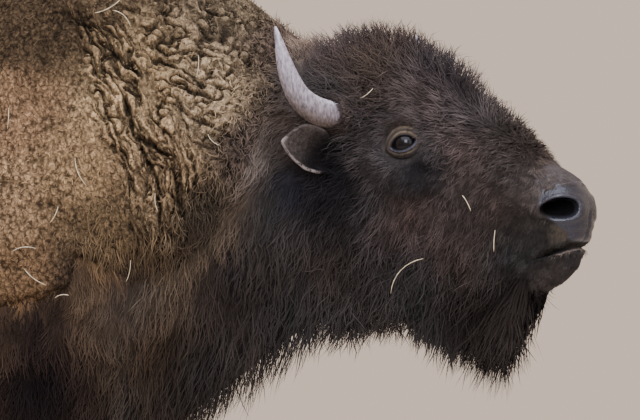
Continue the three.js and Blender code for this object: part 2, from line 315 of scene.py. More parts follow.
def apply_modifier(obj, kind, **settings):
    modifier = obj.modifiers.new(kind.title(), kind)
    for key, value in settings.items():
        setattr(modifier, key, value)
    select_only(obj)
    bpy.ops.object.modifier_apply(modifier=modifier.name)


def numbers(data, key, width, kind=np.float32):
    values = np.zeros(len(data) * width, kind)
    data.foreach_get(key, values)
    return values.reshape(-1, width) if width > 1 else values


def places_of(obj):
    return numbers(obj.data.vertices, "co", 3).astype(float)


def normals_of(obj):
    return numbers(obj.data.vertices, "normal", 3).astype(float)


def layout_of(obj):
    """The points of a mesh in the straight layout."""
    return straightened(places_of(obj))


def move_to(obj, places):
    obj.data.vertices.foreach_set("co", places.astype(np.float32).ravel())
    obj.data.update()


def paint(obj, name, colours):
    """Keeps a colour for each point of a mesh."""
    layer = obj.data.color_attributes.new(name, "FLOAT_COLOR", "POINT")
    rgba = np.concatenate([colours, np.ones((len(colours), 1))], 1)
    layer.data.foreach_set("color", rgba.astype(np.float32).ravel())


def keep_value(obj, name, values):
    layer = obj.data.attributes.new(name, "FLOAT", "POINT")
    layer.data.foreach_set("value", values.astype(np.float32))


def keep_map(mesh, spots):
    """Keeps the OFBake map, with a place for each corner of the faces."""
    layer = mesh.uv_layers.new(name="OFBake")
    layer.uv.foreach_set("vector", spots.astype(np.float32).ravel())


def split_faces(obj, chosen):
    """Cuts the faces whose middles are chosen into smaller ones."""
    form = bmesh.new()
    form.from_mesh(obj.data)
    middles = np.array([face.calc_center_median() for face in form.faces])
    picked = chosen(straightened(middles))
    edges = {edge for face, take in zip(form.faces, picked) if take for edge in face.edges}
    bmesh.ops.subdivide_edges(form, edges=list(edges), cuts=1, use_grid_fill=True)
    form.to_mesh(obj.data)
    form.free()


def give_material(obj, material):
    obj.data.materials.clear()
    obj.data.materials.append(material)


def finish_piece(obj, slot, *nodes):
    """The piece is smooth, rides with the body and stands for its CAD nodes."""
    if not obj.data.has_custom_normals:
        select_only(obj)
        bpy.ops.object.shade_smooth()
    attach(obj, BODY)
    if nodes:
        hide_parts(*nodes)


# ---- Grooming ----

# How the coat lies at places on her body, between which it changes smoothly. Each has its place
# (x, out from the middle plane, z), the way the hair lies (forward, outwards, up), its length, how
# far it stands off the skin in degrees, how deep the skin lies under the coat's outline, and how
# much the hair curls.
GROOMING = {
    # head
    "crown_back": ((515, 50, 1400), (-0.5, 0.1, 0.85), 42, 58, 34, 0.7),
    "crown_top": ((600, 0, 1418), (0.0, 0.0, 1.0), 44, 74, 38, 0.7),
    "crown_side": ((600, 100, 1350), (-0.2, 0.6, 0.6), 40, 42, 30, 0.7),
    "forelock": ((690, 0, 1365), (0.45, 0.0, 0.9), 40, 66, 34, 0.55),
    "forelock_side": ((690, 85, 1325), (-0.3, 0.6, 0.45), 38, 42, 27, 0.4),
    "brow": ((745, 0, 1315), (0.3, 0.0, 0.9), 36, 62, 28, 0.25),
    "brow_side": ((735, 80, 1275), (-0.5, 0.5, -0.1), 30, 30, 19, 0.4),
    "bridge_high": ((790, 0, 1275), (0.4, 0.0, 0.6), 26, 52, 18, 0.15),
    "bridge": ((840, 0, 1232), (0.3, 0.0, 0.3), 18, 36, 9, 0.1),
    "bridge_side": ((815, 66, 1205), (-0.6, 0.2, -0.5), 20, 22, 8, 0.25),
    "muzzle_top": ((880, 0, 1186), (0.8, 0.0, -0.5), 6, 10, 1.5, 0.0),
    "muzzle_side": ((853, 70, 1130), (-0.6, 0.1, -0.6), 11, 15, 4, 0.1),
    "nose": ((919, 0, 1110), (0.0, 0.3, -0.8), 3, 6, 0.3, 0.0),
    "upper_lip": ((880, 58, 1078), (-0.3, 0.1, -0.9), 6, 12, 1.0, 0.0),
    "lip_corner": ((837, 68, 1050), (-0.5, 0.0, -0.85), 18, 15, 6, 0.1),
    "chin": ((892, 20, 1022), (-0.3, 0.0, -0.9), 5, 12, 1.0, 0.0),
    "chin_side": ((871, 45, 1020), (-0.5, 0.0, -0.8), 9, 14, 2.0, 0.0),
    "chin_under": ((864, 20, 992), (-0.6, 0.0, -0.8), 8, 14, 3, 0.0),
    "eye": ((662, 118, 1222), (-0.9, 0.0, -0.3), 6, 8, 3, 0.0),
    "above_eye": ((668, 112, 1258), (-0.7, 0.1, 0.2), 11, 14, 6, 0.0),
    "brow_crease": ((690, 104, 1284), (-0.7, 0.4, 0.1), 24, 30, 15, 0.25),
    "below_eye": ((690, 120, 1178), (-0.4, 0.0, -0.9), 15, 12, 6, 0.05),
    "front_of_eye": ((728, 114, 1210), (-0.6, 0.1, -0.6), 19, 18, 8, 0.3),
    "temple": ((612, 122, 1218), (-0.9, 0.1, -0.3), 18, 18, 8, 0.1),
    "horn_root": ((580, 118, 1262), (-0.25, 0.95, 0.15), 46, 66, 22, 0.25),
    "cheek_high": ((765, 98, 1150), (-0.35, 0.0, -0.9), 20, 15, 9, 0.1),
    "cheek": ((700, 114, 1105), (-0.45, 0.0, -0.85), 32, 15, 14, 0.5),
    "cheek_back": ((610, 124, 1120), (-0.45, 0.0, -0.85), 38, 18, 18, 0.25),
    "jaw": ((790, 82, 1045), (-0.45, 0.0, -0.85), 32, 18, 12, 0.15),
    "jowl_front": ((720, 92, 1000), (-0.35, 0.0, -0.9), 52, 20, 22, 0.2),
    "jowl": ((630, 95, 985), (-0.35, 0.0, -0.9), 62, 20, 28, 0.25),
    "under_jaw": ((650, 0, 930), (-0.25, 0.0, -0.95), 66, 50, 38, 0.25),
    "throat_latch": ((560, 105, 960), (-0.3, 0.0, -0.92), 70, 18, 34, 0.25),
    # beard, which hangs from the lower jaw
    "beard_front": ((822, 18, 985), (-0.45, 0.0, -0.9), 60, 50, 16, 0.1),
    "beard_point": ((800, 18, 975), (-0.2, 0.0, -1.0), 118, 60, 26, 0.12),
    "beard_back": ((730, 40, 955), (-0.2, 0.0, -1.0), 86, 50, 30, 0.15),
    # neck
    "nape": ((425, 0, 1398), (-0.8, 0.0, 0.25), 30, 36, 22, 0.8),
    "crest": ((330, 0, 1465), (-0.8, 0.0, 0.2), 30, 34, 24, 0.8),
    "neck_high": ((370, 135, 1345), (-0.4, 0.1, -0.8), 26, 30, 24, 1.0),
    "neck_side": ((350, 195, 1235), (-0.2, 0.0, -0.9), 27, 26, 24, 0.9),
    "behind_ear": ((475, 140, 1215), (-0.6, 0.0, -0.7), 32, 22, 22, 0.5),
    "neck_low": ((300, 222, 1110), (-0.1, 0.0, -0.95), 38, 20, 26, 0.65),
    "dark_neck": ((450, 155, 1085), (-0.25, 0.0, -0.95), 52, 17, 28, 0.45),
    "neck_soft": ((290, 230, 1000), (-0.2, 0.0, -0.95), 60, 16, 30, 0.35),
    "throat_side": ((420, 120, 935), (-0.25, 0.0, -0.97), 84, 18, 44, 0.3),
    "throat": ((430, 0, 870), (-0.25, 0.0, -0.97), 92, 48, 56, 0.15),
    "neck_foot": ((290, 140, 830), (-0.2, 0.0, -0.97), 90, 20, 48, 0.3),
    # hump and cape
    "hump_top": ((-20, 0, 1620), (-0.9, 0.0, 0.1), 22, 28, 24, 0.8),
    "cape_top": ((90, 110, 1480), (-0.5, 0.2, -0.7), 18, 26, 24, 0.8),
    "cape": ((0, 240, 1280), (-0.35, 0.0, -0.9), 13, 24, 24, 0.8),
    "wrinkles": ((180, 215, 1290), (0.25, 0.0, -0.95), 24, 16, 24, 0.6),
    "cape_low": ((20, 285, 1050), (-0.3, 0.0, -0.9), 13, 22, 24, 0.8),
    "cape_back": ((-330, 280, 1250), (-0.6, 0.0, -0.7), 15, 22, 22, 0.7),
    "cape_end": ((-470, 120, 1390), (-0.9, 0.0, -0.2), 14, 18, 16, 0.4),
    "shoulder_front": ((160, 255, 1040), (0.05, 0.0, -1.0), 38, 16, 26, 0.45),
    "shoulder_low": ((40, 270, 880), (-0.15, 0.0, -1.0), 50, 16, 30, 0.35),
    "shoulder_back": ((-260, 300, 900), (-0.5, 0.0, -0.85), 30, 14, 18, 0.15),
    "brisket": ((110, 90, 680), (-0.1, 0.0, -1.0), 76, 36, 44, 0.3),
    "chest": ((0, 60, 565), (-0.3, 0.0, -0.9), 58, 34, 32, 0.15),
    # barrel and hindquarters
    "barrel": ((-600, 310, 960), (-0.75, 0.0, -0.6), 18, 12, 9, 0.1),
    "belly": ((-500, 60, 560), (-0.8, 0.0, -0.5), 28, 20, 14, 0.1),
    "loin": ((-820, 0, 1292), (-1.0, 0.0, 0.0), 16, 12, 8, 0.1),
    "flank": ((-880, 250, 850), (-0.6, 0.0, -0.8), 18, 12, 9, 0.1),
    "hip": ((-1050, 220, 1150), (-0.6, 0.0, -0.8), 14, 10, 7, 0.05),
    "thigh": ((-1100, 245, 850), (-0.3, 0.0, -1.0), 16, 12, 8, 0.05),
    "buttock": ((-1310, 90, 960), (-0.1, 0.2, -1.0), 16, 10, 7, 0.05),
    # legs
    "foreleg_high": ((20, 220, 640), (-0.05, 0.0, -1.0), 50, 16, 16, 0.15),
    "forearm": ((20, 210, 520), (-0.05, 0.0, -1.0), 42, 18, 14, 0.15),
    "knee": ((15, 190, 390), (-0.05, 0.0, -1.0), 14, 14, 5, 0.1),
    "fore_cannon": ((5, 170, 220), (-0.1, 0.0, -1.0), 8, 10, 2.5, 0.0),
    "fore_pastern": ((5, 175, 80), (0.0, 0.0, -1.0), 12, 16, 2.5, 0.0),
    "gaskin": ((-1150, 215, 600), (-0.3, 0.0, -1.0), 16, 12, 6, 0.05),
    "hock": ((-1206, 185, 455), (-0.1, 0.0, -1.0), 9, 10, 3, 0.0),
    "hind_cannon": ((-1180, 172, 250), (-0.1, 0.0, -1.0), 8, 10, 2.5, 0.0),
    "hind_pastern": ((-1160, 175, 80), (0.0, 0.0, -1.0), 12, 16, 2.5, 0.0),
    "tail": ((-1365, 10, 1000), (-0.1, 0.0, -1.0), 16, 12, 3, 0.05),
}


def table(guides, column):
    return np.array([guide[column] for guide in guides.values()], float)


def nearness(points, guides, power=4.0):
    """How much each guide counts at each point. Both sides of the body share the guides."""
    away = np.linalg.norm(mirrored(points)[:, None] - table(guides, 0)[None], axis=2)
    weights = 1 / (away + 12.0) ** power
    return weights / weights.sum(1, keepdims=True)


def groomed(points):
    """The lie, length, lift, depth and curl of the coat at points of the straight layout."""
    weights = nearness(points, GROOMING)
    lie = weights @ table(GROOMING, 1)
    lie[:, 1] *= np.where(points[:, 1] < 0, -1, 1)
    length, lift, depth, curl = (weights @ table(GROOMING, i) for i in (2, 3, 4, 5))
    return unit(lie), length, np.radians(lift), depth, curl


# ---- Colours and markings ----

# The coat's colour at places on her body, between which it changes smoothly.
MARKINGS = {
    # hump, hump_front and cape_high are painted darker on top of the hump, a painted shade against the
    # strong light from above.
    "hump": ((-20, 0, 1620), "#4c3e2e"),
    "hump_front": ((150, 40, 1540), "#4c3e2e"),
    "cape_high": ((10, 205, 1405), "#4b3d2c"),
    "cape": ((-20, 240, 1270), "#876b4f"),
    "cape_middle": ((-20, 275, 1130), "#9a7e5e"),
    "cape_low": ((0, 288, 1010), "#785f44"),
    "cape_front": ((88, 255, 1185), "#907656"),
    "cape_back": ((-330, 280, 1200), "#856b4f"),
    "wrinkles": ((180, 205, 1300), "#a48b68"),
    "wrinkles_low": ((260, 232, 1180), "#9f8564"),
    "neck_curls": ((340, 180, 1290), "#a69071"),
    "neck_top": ((330, 40, 1450), "#7b6b54"),
    "nape": ((420, 30, 1395), "#625347"),
    "neck_fade": ((400, 170, 1230), "#52463d"),
    "neck_fade_low": ((330, 215, 1110), "#3c342a"),
    "behind_ear": ((455, 140, 1240), "#302924"),
    "crown_back": ((500, 60, 1385), "#2c2625"),
    "behind_horn": ((490, 120, 1320), "#292523"),
    "dark_neck": ((450, 150, 1110), "#272320"),
    "dark_neck_low": ((380, 190, 1020), "#201c1b"),
    "ruff": ((420, 120, 930), "#272525"),
    "throat": ((430, 0, 870), "#282727"),
    "neck_foot": ((280, 150, 850), "#25211e"),
    "shoulder_front": ((135, 262, 1085), "#5f4e38"),
    # under_cape_front is partly the darker hair under the cape's front edge and partly painted shade under
    # that edge.
    "under_cape_front": ((108, 276, 1002), "#3a2f24"),
    "shoulder_fade": ((170, 250, 985), "#322a23"),
    "below_cape": ((40, 285, 930), "#231c18"),
    "shoulder_low": ((40, 270, 860), "#0d090a"),
    "brisket": ((110, 90, 680), "#1f1a19"),
    "chest": ((0, 60, 565), "#211e1b"),
    "under_cape": ((-60, 290, 940), "#261e18"),
    "under_cape_back": ((-230, 300, 930), "#3a2e24"),
    "behind_cape": ((-420, 298, 1060), "#433528"),
    "behind_cape_high": ((-560, 262, 1250), "#493a2c"),
    "shoulder_back": ((-260, 300, 920), "#3e3328"),
    "crown": ((600, 0, 1415), "#292220"),
    "crown_side": ((600, 100, 1340), "#2e2824"),
    "forelock": ((720, 40, 1330), "#2e2725"),
    "brow": ((740, 90, 1260), "#3d3532"),
    "bridge": ((830, 20, 1235), "#2d2825"),
    "temple": ((610, 122, 1215), "#322e2d"),
    "round_eye": ((670, 118, 1225), "#3f3937"),
    "below_eye": ((690, 120, 1180), "#1a1818"),
    "cheek": ((690, 114, 1105), "#342d2b"),
    "cheek_front": ((780, 92, 1140), "#312b28"),
    "muzzle_side": ((850, 72, 1120), "#141110"),
    "lip": ((890, 62, 1070), "#242321"),
    "chin": ((905, 20, 1010), "#393432"),
    "jowl": ((640, 95, 990), "#2b2826"),
    "beard": ((780, 20, 960), "#2d2a29"),
    "barrel": ((-600, 310, 1000), "#413326"),
    "belly": ((-500, 60, 560), "#30261e"),
    "loin": ((-820, 0, 1290), "#4e3d2f"),
    "hip": ((-1080, 220, 1120), "#413429"),
    "thigh": ((-1100, 245, 850), "#352a21"),
    "buttock": ((-1310, 90, 960), "#352a22"),
    "foreleg": ((20, 220, 600), "#221d1b"),
    "foreleg_low": ((5, 170, 250), "#201c19"),
    "hindleg": ((-1190, 190, 500), "#30271e"),
    "hindleg_low": ((-1180, 172, 200), "#241e19"),
    "tail": ((-1365, 10, 1000), "#372b22"),
    # below_ear and below_ear_back are painted shade under the ear.
    "below_ear": ((548, 126, 1172), "#131214"),
    "below_ear_back": ((490, 142, 1150), "#18171a"),
    "nose_top": ((876, 16, 1176), "#403934"),
    "nostril_back": ((850, 62, 1128), "#413c39"),
}
MARKING_COLOURS = np.array([linear(mark[1]) for mark in MARKINGS.values()])
DEPTH_OF_COAT = 2.4  # hair is this much lighter than the coat, which is darkened by its own shadows
FELT_DEPTH = 1.3  # the same for the matted wool
WARMTH = (0.16, 0.03, -0.1)  # how far the coat's red, green and blue drift from place to place


def marked(points):
    """The coat's colour at points of the straight layout."""
    return nearness(points, MARKINGS, 5.0) @ MARKING_COLOURS


# ---- The skin ----

def is_head(q, lowest=880):
    return (q[:, 0] > 500) & (q[:, 2] > lowest)


def near_eye(q, reach):
    return np.linalg.norm(mirrored(q) - EYE, axis=1) < reach


EYE_OUT = unit(np.array([0.1, 0.99, 0.0]))  # the way her left eye looks
EYE_AHEAD = unit(np.array([0.97, -0.1, 0.26]))
EYE_UP = np.cross(EYE_AHEAD, EYE_OUT)


def eye_plan(q):
    """Places relative to the nearer eye: ahead of it, above it and how far out."""
    away = mirrored(q) - EYE
    return away @ EYE_AHEAD, away @ EYE_UP, away @ EYE_OUT


def is_muzzle(q):
    return (q[:, 0] > 838) & (q[:, 2] > 950)


# The nostril's middle, with its long axis, its short axis and the way it faces, on her left side.
NOSTRIL = np.array([900.0, 46.0, 1121.0])
NOSTRIL_LONG = unit(np.array([0.87, -0.49, 0.04]))
NOSTRIL_OUT = unit(np.array([0.49, 0.87, 0.0]))
NOSTRIL_UP = np.cross(NOSTRIL_OUT, NOSTRIL_LONG)
NOSTRIL_LENGTH, NOSTRIL_HEIGHT, NOSTRIL_DEPTH = 29, 15.6, 46  # half its length and height
MOUTH_DEPTH = 12


def nostril_plan(q):
    """Places relative to the nostril: along it, across it, and how far out."""
    away = mirrored(q) - NOSTRIL
    return away @ NOSTRIL_LONG, away @ NOSTRIL_UP, away @ NOSTRIL_OUT


def nostril_reach(q):
    """1 on the edge of the nostril, less inside. It narrows and lifts towards its back end."""
    along, across, out = nostril_plan(q)
    back = np.clip(-along / 28, 0, 1.4)
    height = NOSTRIL_HEIGHT - 3.6 * back
    reach = (np.abs(along / NOSTRIL_LENGTH) ** 2.5 + np.abs((across - 2 * back**2) / height) ** 2.5) ** 0.4
    return np.where(np.abs(out) < 45, reach, 9.0)


def mouth_height(x):
    """How high the line between the lips runs."""
    return 1038 + 0.26 * (x - 842) + 0.0012 * (x - 842) ** 2


MUZZLE_CORE = np.array([872.0, 0.0, 1098.0])


def muzzle_fullness(q):
    """1 on the surface of the rounded end of the muzzle with the lower lip, and less inside."""
    x, y, z = q.T
    heights = [980, 1004, 1018, 1031, 1046, 1063, 1092, 1120, 1145]
    front = np.interp(z, heights, [14, 30, 37, 42, 40, 45, 57, 60, 59])
    half = np.interp(z, [980, 1010, 1040, 1060, 1090, 1125, 1160, 1190], [40, 44, 47, 52, 57, 58, 55, 50])
    half = half * np.interp(x, [838, 874], [1.2, 1.0])
    top = np.interp(x, [832, 885, 918], [1206, 1182, 1170]) - MUZZLE_CORE[2]
    low = MUZZLE_CORE[2] - np.interp(x, [832, 858, 893], [984, 996, 1006])
    rise = z - MUZZLE_CORE[2]
    tall = np.where(rise > 0, rise / top, -rise / low)
    return (np.maximum(x - MUZZLE_CORE[0], 0) / front) ** 2.4 + (np.abs(y) / half) ** 2.4 + tall**3


def rounded_muzzle(q):
    """Moves points of the muzzle in or out along rays from its core, onto its rounded form."""
    core = np.tile(MUZZLE_CORE, (len(q), 1))
    core[:, 0] = np.minimum(q[:, 0], MUZZLE_CORE[0])
    ray = q - core
    near, far = np.full(len(q), 0.2), np.full(len(q), 3.0)
    for _ in range(24):
        middle = (near + far) / 2
        outside = muzzle_fullness(core + ray * middle[:, None]) > 1
        near, far = np.where(outside, near, middle), np.where(outside, middle, far)
    share = ramp(q[:, 0], 838, 876) * (q[:, 2] > 900)
    return mixed(q, core + ray * near[:, None], share)


def sculpt_muzzle(q):
    """Moves points of the head to make the nostrils, the lips and the groove of the nose."""
    x, y, z = q.T
    side = np.where(y < 0, -1.0, 1.0)
    moved = q.copy()
    reach = nostril_reach(q)
    out = NOSTRIL_OUT * np.stack([np.ones_like(side), side, np.ones_like(side)], 1)
    rim = hump_at(reach - 1.3, 0.42) * 3.4
    hollow = -NOSTRIL_DEPTH * np.clip(1 - (reach / 1.06) ** 2, 0, 1) ** 0.7
    hollow_way = unit(out + np.array([0.6, 0, -0.3]))
    moved += out * rim[:, None] + hollow_way * hollow[:, None]
    front = ramp(x, 844, 882)
    gap = z - mouth_height(x)
    opening = 2.4 + 2.8 * ramp(x, 862, 907)
    slit = -MOUTH_DEPTH * hump_at(gap / opening, 1.3) * front
    lips = (3.0 * hump_at(gap - 10, 9) + 2.4 * hump_at(gap + 9, 8)) * front
    outwards = unit(np.stack([0.75 * ramp(x, 872, 917), side * 0.8, 0 * side], 1))
    outwards[:, 1] *= ramp(np.abs(y), 0, 12)
    moved += outwards * (slit + lips)[:, None]
    groove = hump_at(y, 6) * ramp(x, 887, 912) * (1 - ramp(z, 1105, 1125))
    moved[:, 0] -= 3.0 * groove * ramp(z, 1060, 1075)
    return moved


def sculpt_eye_region(q):
    """Sinks the socket behind the eyeball's front and raises the brow and the folds round it."""
    side = np.where(q[:, 1] < 0, -1.0, 1.0)
    x, z = q[:, 0] - EYE[0], q[:, 2] - EYE[2]
    at_side = ramp(np.abs(q[:, 1]), 60, 85)
    brow = hump_at(np.hypot((x - 12) / 52, (z - 40) / 20), 1) * 7
    tear_hollow = hump_at(np.hypot((x - 34) / 40, (z + 42) / 20), 1) * -7
    behind = hump_at(np.hypot((x + 52) / 30, z / 42), 1) * -4
    cheekbone = hump_at(np.hypot((x - 10) / 80, (z + 70) / 18), 1) * 4
    moved = q.copy()
    moved[:, 1] += side * at_side * (brow + tear_hollow + behind + cheekbone)
    ahead, up, out = eye_plan(moved)
    opening = np.hypot(ahead / 24, up / 16)
    sink = (1 - ramp(opening, 0.95, 1.3)) * near_eye(moved, 60)
    target = np.where(out > 0, -4.0 - out, 0.0)
    push = EYE_OUT * (sink * target)[:, None]
    push[:, 1] *= side
    return moved + push


# Half the length of the opening between the lids, and its heights above and below the corners.
LID_LENGTH, LID_RISE, LID_FALL = 19.5, 11.8, 8.8
# The folds of the lids: how far from the edge of the opening, and how far off the eyeball.
LID_FOLDS = [(-1.2, 0.1), (0.0, 1.6), (1.2, 2.8), (2.6, 3.1), (3.8, 1.7), (5.2, 3.6), (7.4, 3.6),
             (8.8, 1.6), (10.6, 3.6), (13.0, 3.2), (16.0, 1.0), (20.0, -3.5)]
LID_BEND = 0.72  # past this share of the eyeball's radius the folds leave its curve


def lid_edge(angle):
    """The edge of the opening between the lids, ahead of and above the eye's middle."""
    ahead = 2.0 + LID_LENGTH * np.cos(angle)
    height = np.where(np.sin(angle) > 0, LID_RISE, LID_FALL)
    return ahead, height * np.sin(angle) * np.abs(np.sin(angle)) ** 0.5


def lid_reach(ahead, up):
    """1 on the edge of that opening, less inside and more outside."""
    height = np.where(up > 0, LID_RISE, LID_FALL)
    return np.sqrt(((ahead - 2) / LID_LENGTH) ** 2 + (np.abs(up) / height) ** (4 / 3))


def lids(side, radius):
    """The lids of one eye as a ring of folds round the opening, in the straight layout."""
    around = 72
    angle = 2 * np.pi * np.arange(around) / around
    ahead, up = lid_edge(angle)
    rows = []
    for off, rise in LID_FOLDS:
        s = ahead * (1 + off / np.where(ahead > 0, 17, 24))
        t = up + np.sin(angle) * off * np.where(up > 0, 0.9, 0.7)
        flat = np.hypot(s, t)
        shell = radius / MM + rise
        slope = shell * math.sqrt(1 - LID_BEND**2) - (flat - shell * LID_BEND) * 0.12
        deep = np.where(flat < shell * LID_BEND, np.sqrt(np.maximum(shell**2 - flat**2, 0)), slope)
        rows.append(EYE + s[:, None] * EYE_AHEAD + t[:, None] * EYE_UP + deep[:, None] * EYE_OUT)
    points = np.concatenate(rows)
    points[:, 1] *= side
    ring = np.arange(around)
    after = (ring + 1) % around
    faces = []
    for row in range(len(LID_FOLDS) - 1):
        low, high = row * around, (row + 1) * around
        quads = np.stack([low + ring, low + after, high + after, high + ring], 1)
        faces.append(quads if side > 0 else quads[:, ::-1])
    return points, np.concatenate(faces)


def add_lids(skin, radius):
    """Joins both eyes' lids to the skin."""
    form = bmesh.new()
    form.from_mesh(skin.data)
    for side in SIDES.values():
        points, faces = lids(side, radius)
        corners = [form.verts.new(place) for place in turned(points)]
        for face in faces:
            form.faces.new([corners[i] for i in face])
    form.to_mesh(skin.data)
    form.free()


EAR_ROOT = np.array([546.0, 104.0, 1186.0])  # of her left ear
EAR_AXIS = unit(np.array([-0.43, 0.8, 0.41]))
EAR_FACING = unit(np.array([0.8, 0.5, -0.28]) - EAR_AXIS * float(EAR_AXIS @ np.array([0.8, 0.5, -0.28])))
EAR_ACROSS = np.cross(EAR_AXIS, EAR_FACING)
EAR_REACH, EAR_HALF_WIDTH = 113.0, 38


def ear_form(along, across):
    """A point of the ear's cup. along is 0 at its root and 1 at its tip, across -1 to 1."""
    half = np.interp(along, [0, 0.15, 0.35, 0.55, 0.75, 0.9, 1.0], [12, 17, 29, 38, 38, 31, 13])
    lower_half = np.interp(along, [0, 0.15, 0.3, 0.5, 0.75, 0.9, 1.0], [10, 18, 27, 31, 26, 18, 9])
    half = np.where(across > 0, lower_half, half * 1.04)
    cup = 17 * (1 - across**2) * np.interp(along, [0, 0.2, 0.6, 1], [0.5, 1.1, 0.9, 0.25])
    bow = 8 * np.sin(np.pi * along)
    length = EAR_REACH * along + 5 * across * along
    return (EAR_AXIS * length[:, None] + EAR_ACROSS * (half * across)[:, None]
            - EAR_FACING * (cup - bow)[:, None])


def make_ear(side_name):
    """A cupped ear with a rounded rim, its root pushed into the head."""
    side = SIDES[side_name]
    bpy.ops.object.select_all(action="DESELECT")
    bpy.ops.mesh.primitive_grid_add(x_subdivisions=18, y_subdivisions=12, size=2)
    ear = bpy.context.object
    ear.name = f"ear_{side_name}_skin"
    flat = places_of(ear)
    along, across = (flat[:, 0] + 1) / 2, flat[:, 1]
    q = EAR_ROOT + ear_form(along, across)
    q[:, 1] *= side
    move_to(ear, turned(q))
    keep_value(ear, "along", along)
    keep_value(ear, "across", across)
    if side > 0:
        ear.data.flip_normals()
    apply_modifier(ear, "SOLIDIFY", thickness=5.5 * MM, offset=0.0, use_rim=True)
    apply_modifier(ear, "SUBSURF", levels=2, render_levels=2)
    return ear


def values_of(obj, name):
    return numbers(obj.data.attributes[name].data, "value", 1).astype(float)


def ear_colours(ear):
    """Dark inside, with a pale bare rim that is broadest along the lower edge."""
    along, across = values_of(ear, "along"), values_of(ear, "across")
    q = layout_of(ear)
    colour = np.tile(linear("#1a1819"), (len(q), 1))
    lit = ramp(along, 0.4, 0.85) * 0.9
    colour = mixed(colour, "#544c47", lit)
    # Painted highlight along the rim and at the tip, broadest on the lower edge.
    broad = np.where(across > 0, 0.13, 0.06)
    begins = np.where(across > 0, 0.22, 0.5)
    rim = ramp(np.abs(across), 1 - broad, 1 - broad * 0.3) * ramp(along, begins, begins + 0.12)
    rim = np.maximum(rim, ramp(along, 0.94, 0.99) * ramp(across, -0.6, 0.2))
    return mixed(colour, "#857c77", rim * np.where(across > -0.1, 1, 0.22))


def grow_ear_hair(ears, settings):
    """Soft hair inside the ears, sparse and long, and short hair behind them."""
    coat = Coat("ear_hair", 71, settings)
    for ear, side in zip(ears, SIDES.values()):
        hide = Hide(ear)
        mirror = (1, side, 1)
        roots, normals = hide.roots(lambda q: np.full(len(q), 1 / 4.0**2), coat.random)
        flat = roots - EAR_ROOT * mirror
        along = flat @ (EAR_AXIS * mirror) / EAR_REACH
        across = flat @ (EAR_ACROSS * mirror) / EAR_HALF_WIDTH
        kept = (np.abs(across) < 0.78) & (along < 0.92) & (along > 0.05)
        roots, normals, along = roots[kept], normals[kept], along[kept]
        inner = (normals @ (EAR_FACING * mirror)) > 0
        laid = EAR_AXIS * mirror, np.where(inner, 13, 8), np.radians(np.where(inner, 34, 14)), 0.0
        tone = np.where(inner, 1.0, 1.2)[:, None] * linear("#3d3733")
        # Painted shade deep in the cup and painted light towards the tip, as on the ear itself.
        tone = tone * (0.3 + 1.5 * ramp(along, 0.4, 0.9))[:, None]
        row = 0.25 + 0.4 * (side > 0) + 0.12 * across[kept]
        spots = np.stack([np.clip(along, 0, 1) * 0.9, row], 1)
        coat.add(roots, normals, spots, 2, 1.3, clump=9, laid=laid, tint=lambda _: tone, sink=1.0)
    return coat.build()


FOOT_RISE, FOOT_DROP = 3.5, 24  # how far the skin stands out at the feet and reaches into the hooves


def make_skin(settings):
    """One skin over all the flesh, inside it by the depth of the coat."""
    skin = copy_of_nodes("skin", FLESH)
    apply_modifier(skin, "DISPLACE", strength=1.2 * MM, mid_level=0.0)
    apply_modifier(skin, "REMESH", mode="VOXEL", voxel_size=settings.skin.voxel)
    apply_modifier(skin, "SMOOTH", factor=0.5, iterations=8)
    q = layout_of(skin)
    broad = skin.vertex_groups.new(name="broad")
    weights = (1 - ramp(q[:, 0], 430, 560)) * ramp(q[:, 2], 640, 800) * ramp(q[:, 0], -1335, -1290)
    for high in (0.25, 0.5, 0.75, 1.0):
        chosen = np.nonzero((weights > high - 0.25) & (weights <= high))[0]
        broad.add(chosen.tolist(), high, "REPLACE")
    apply_modifier(skin, "SMOOTH", factor=0.5, iterations=40, vertex_group="broad")
    split_faces(skin, is_head)
    split_faces(skin, lambda q: is_muzzle(q) | near_eye(q, 62))
    split_faces(skin, lambda q: nostril_reach(q) < 1.9)
    apply_modifier(skin, "SMOOTH", factor=0.5, iterations=4)
    q = layout_of(skin)
    feet = 1 - ramp(q[:, 2], 90, 200)
    depth = groomed(q)[3] * (1 - feet) - FOOT_RISE * feet
    move_to(skin, places_of(skin) - normals_of(skin) * depth[:, None] * MM)
    q = layout_of(skin)
    q[:, 2] -= FOOT_DROP * (1 - ramp(q[:, 2], 50, 150))
    face = q[:, 0] > 560
    q[face] = sculpt_muzzle(rounded_muzzle(sculpt_eye_region(q[face])))
    move_to(skin, turned(q))
    add_lids(skin, settings.eyes.radius)
    return skin


# ---- Materials ----

def add_node(tree, kind, inputs=None, **settings):
    """Adds a shader node. A tuple (node, output name) in inputs is a link, the rest are values."""
    node = tree.nodes.new(f"ShaderNode{kind}")
    for key, value in settings.items():
        setattr(node, key, value)
    for key, value in (inputs or {}).items():
        if isinstance(value, tuple) and isinstance(value[0], bpy.types.Node):
            tree.links.new(value[0].outputs[value[1]], node.inputs[key])
        else:
            node.inputs[key].default_value = value
    return node


def made_once(make):
    """The same material each time that it is asked for."""
    made = []

    def ask():
        if not made:
            made.append(make())
        return made[0]

    ask.__doc__ = make.__doc__
    return ask


def new_material(name):
    material = bpy.data.materials.new(name)
    material.use_nodes = True
    material.node_tree.nodes.clear()
    return material, material.node_tree


def span(value, start, end, least=0.0, most=1.0):
    """Inputs that take a value between start and end to one between least and most."""
    return {"Value": value, "From Min": start, "From Max": end, "To Min": least, "To Max": most}


def relief_of(height, strength, depth, **more):
    """Inputs that give a surface the relief of a pattern."""
    return {"Height": height, "Strength": strength, "Distance": depth, **more}


def dappled(tree, colour, noise, least, most, reach=0.2):
    """The colour times least to most, as the noise goes from 0.5 - reach to 0.5 + reach."""
    share = add_node(tree, "MapRange", span((noise, "Fac"), 0.5 - reach, 0.5 + reach, least, most))
    return add_node(tree, "VectorMath", {0: colour, 1: (share, "Result")}, operation="MULTIPLY")


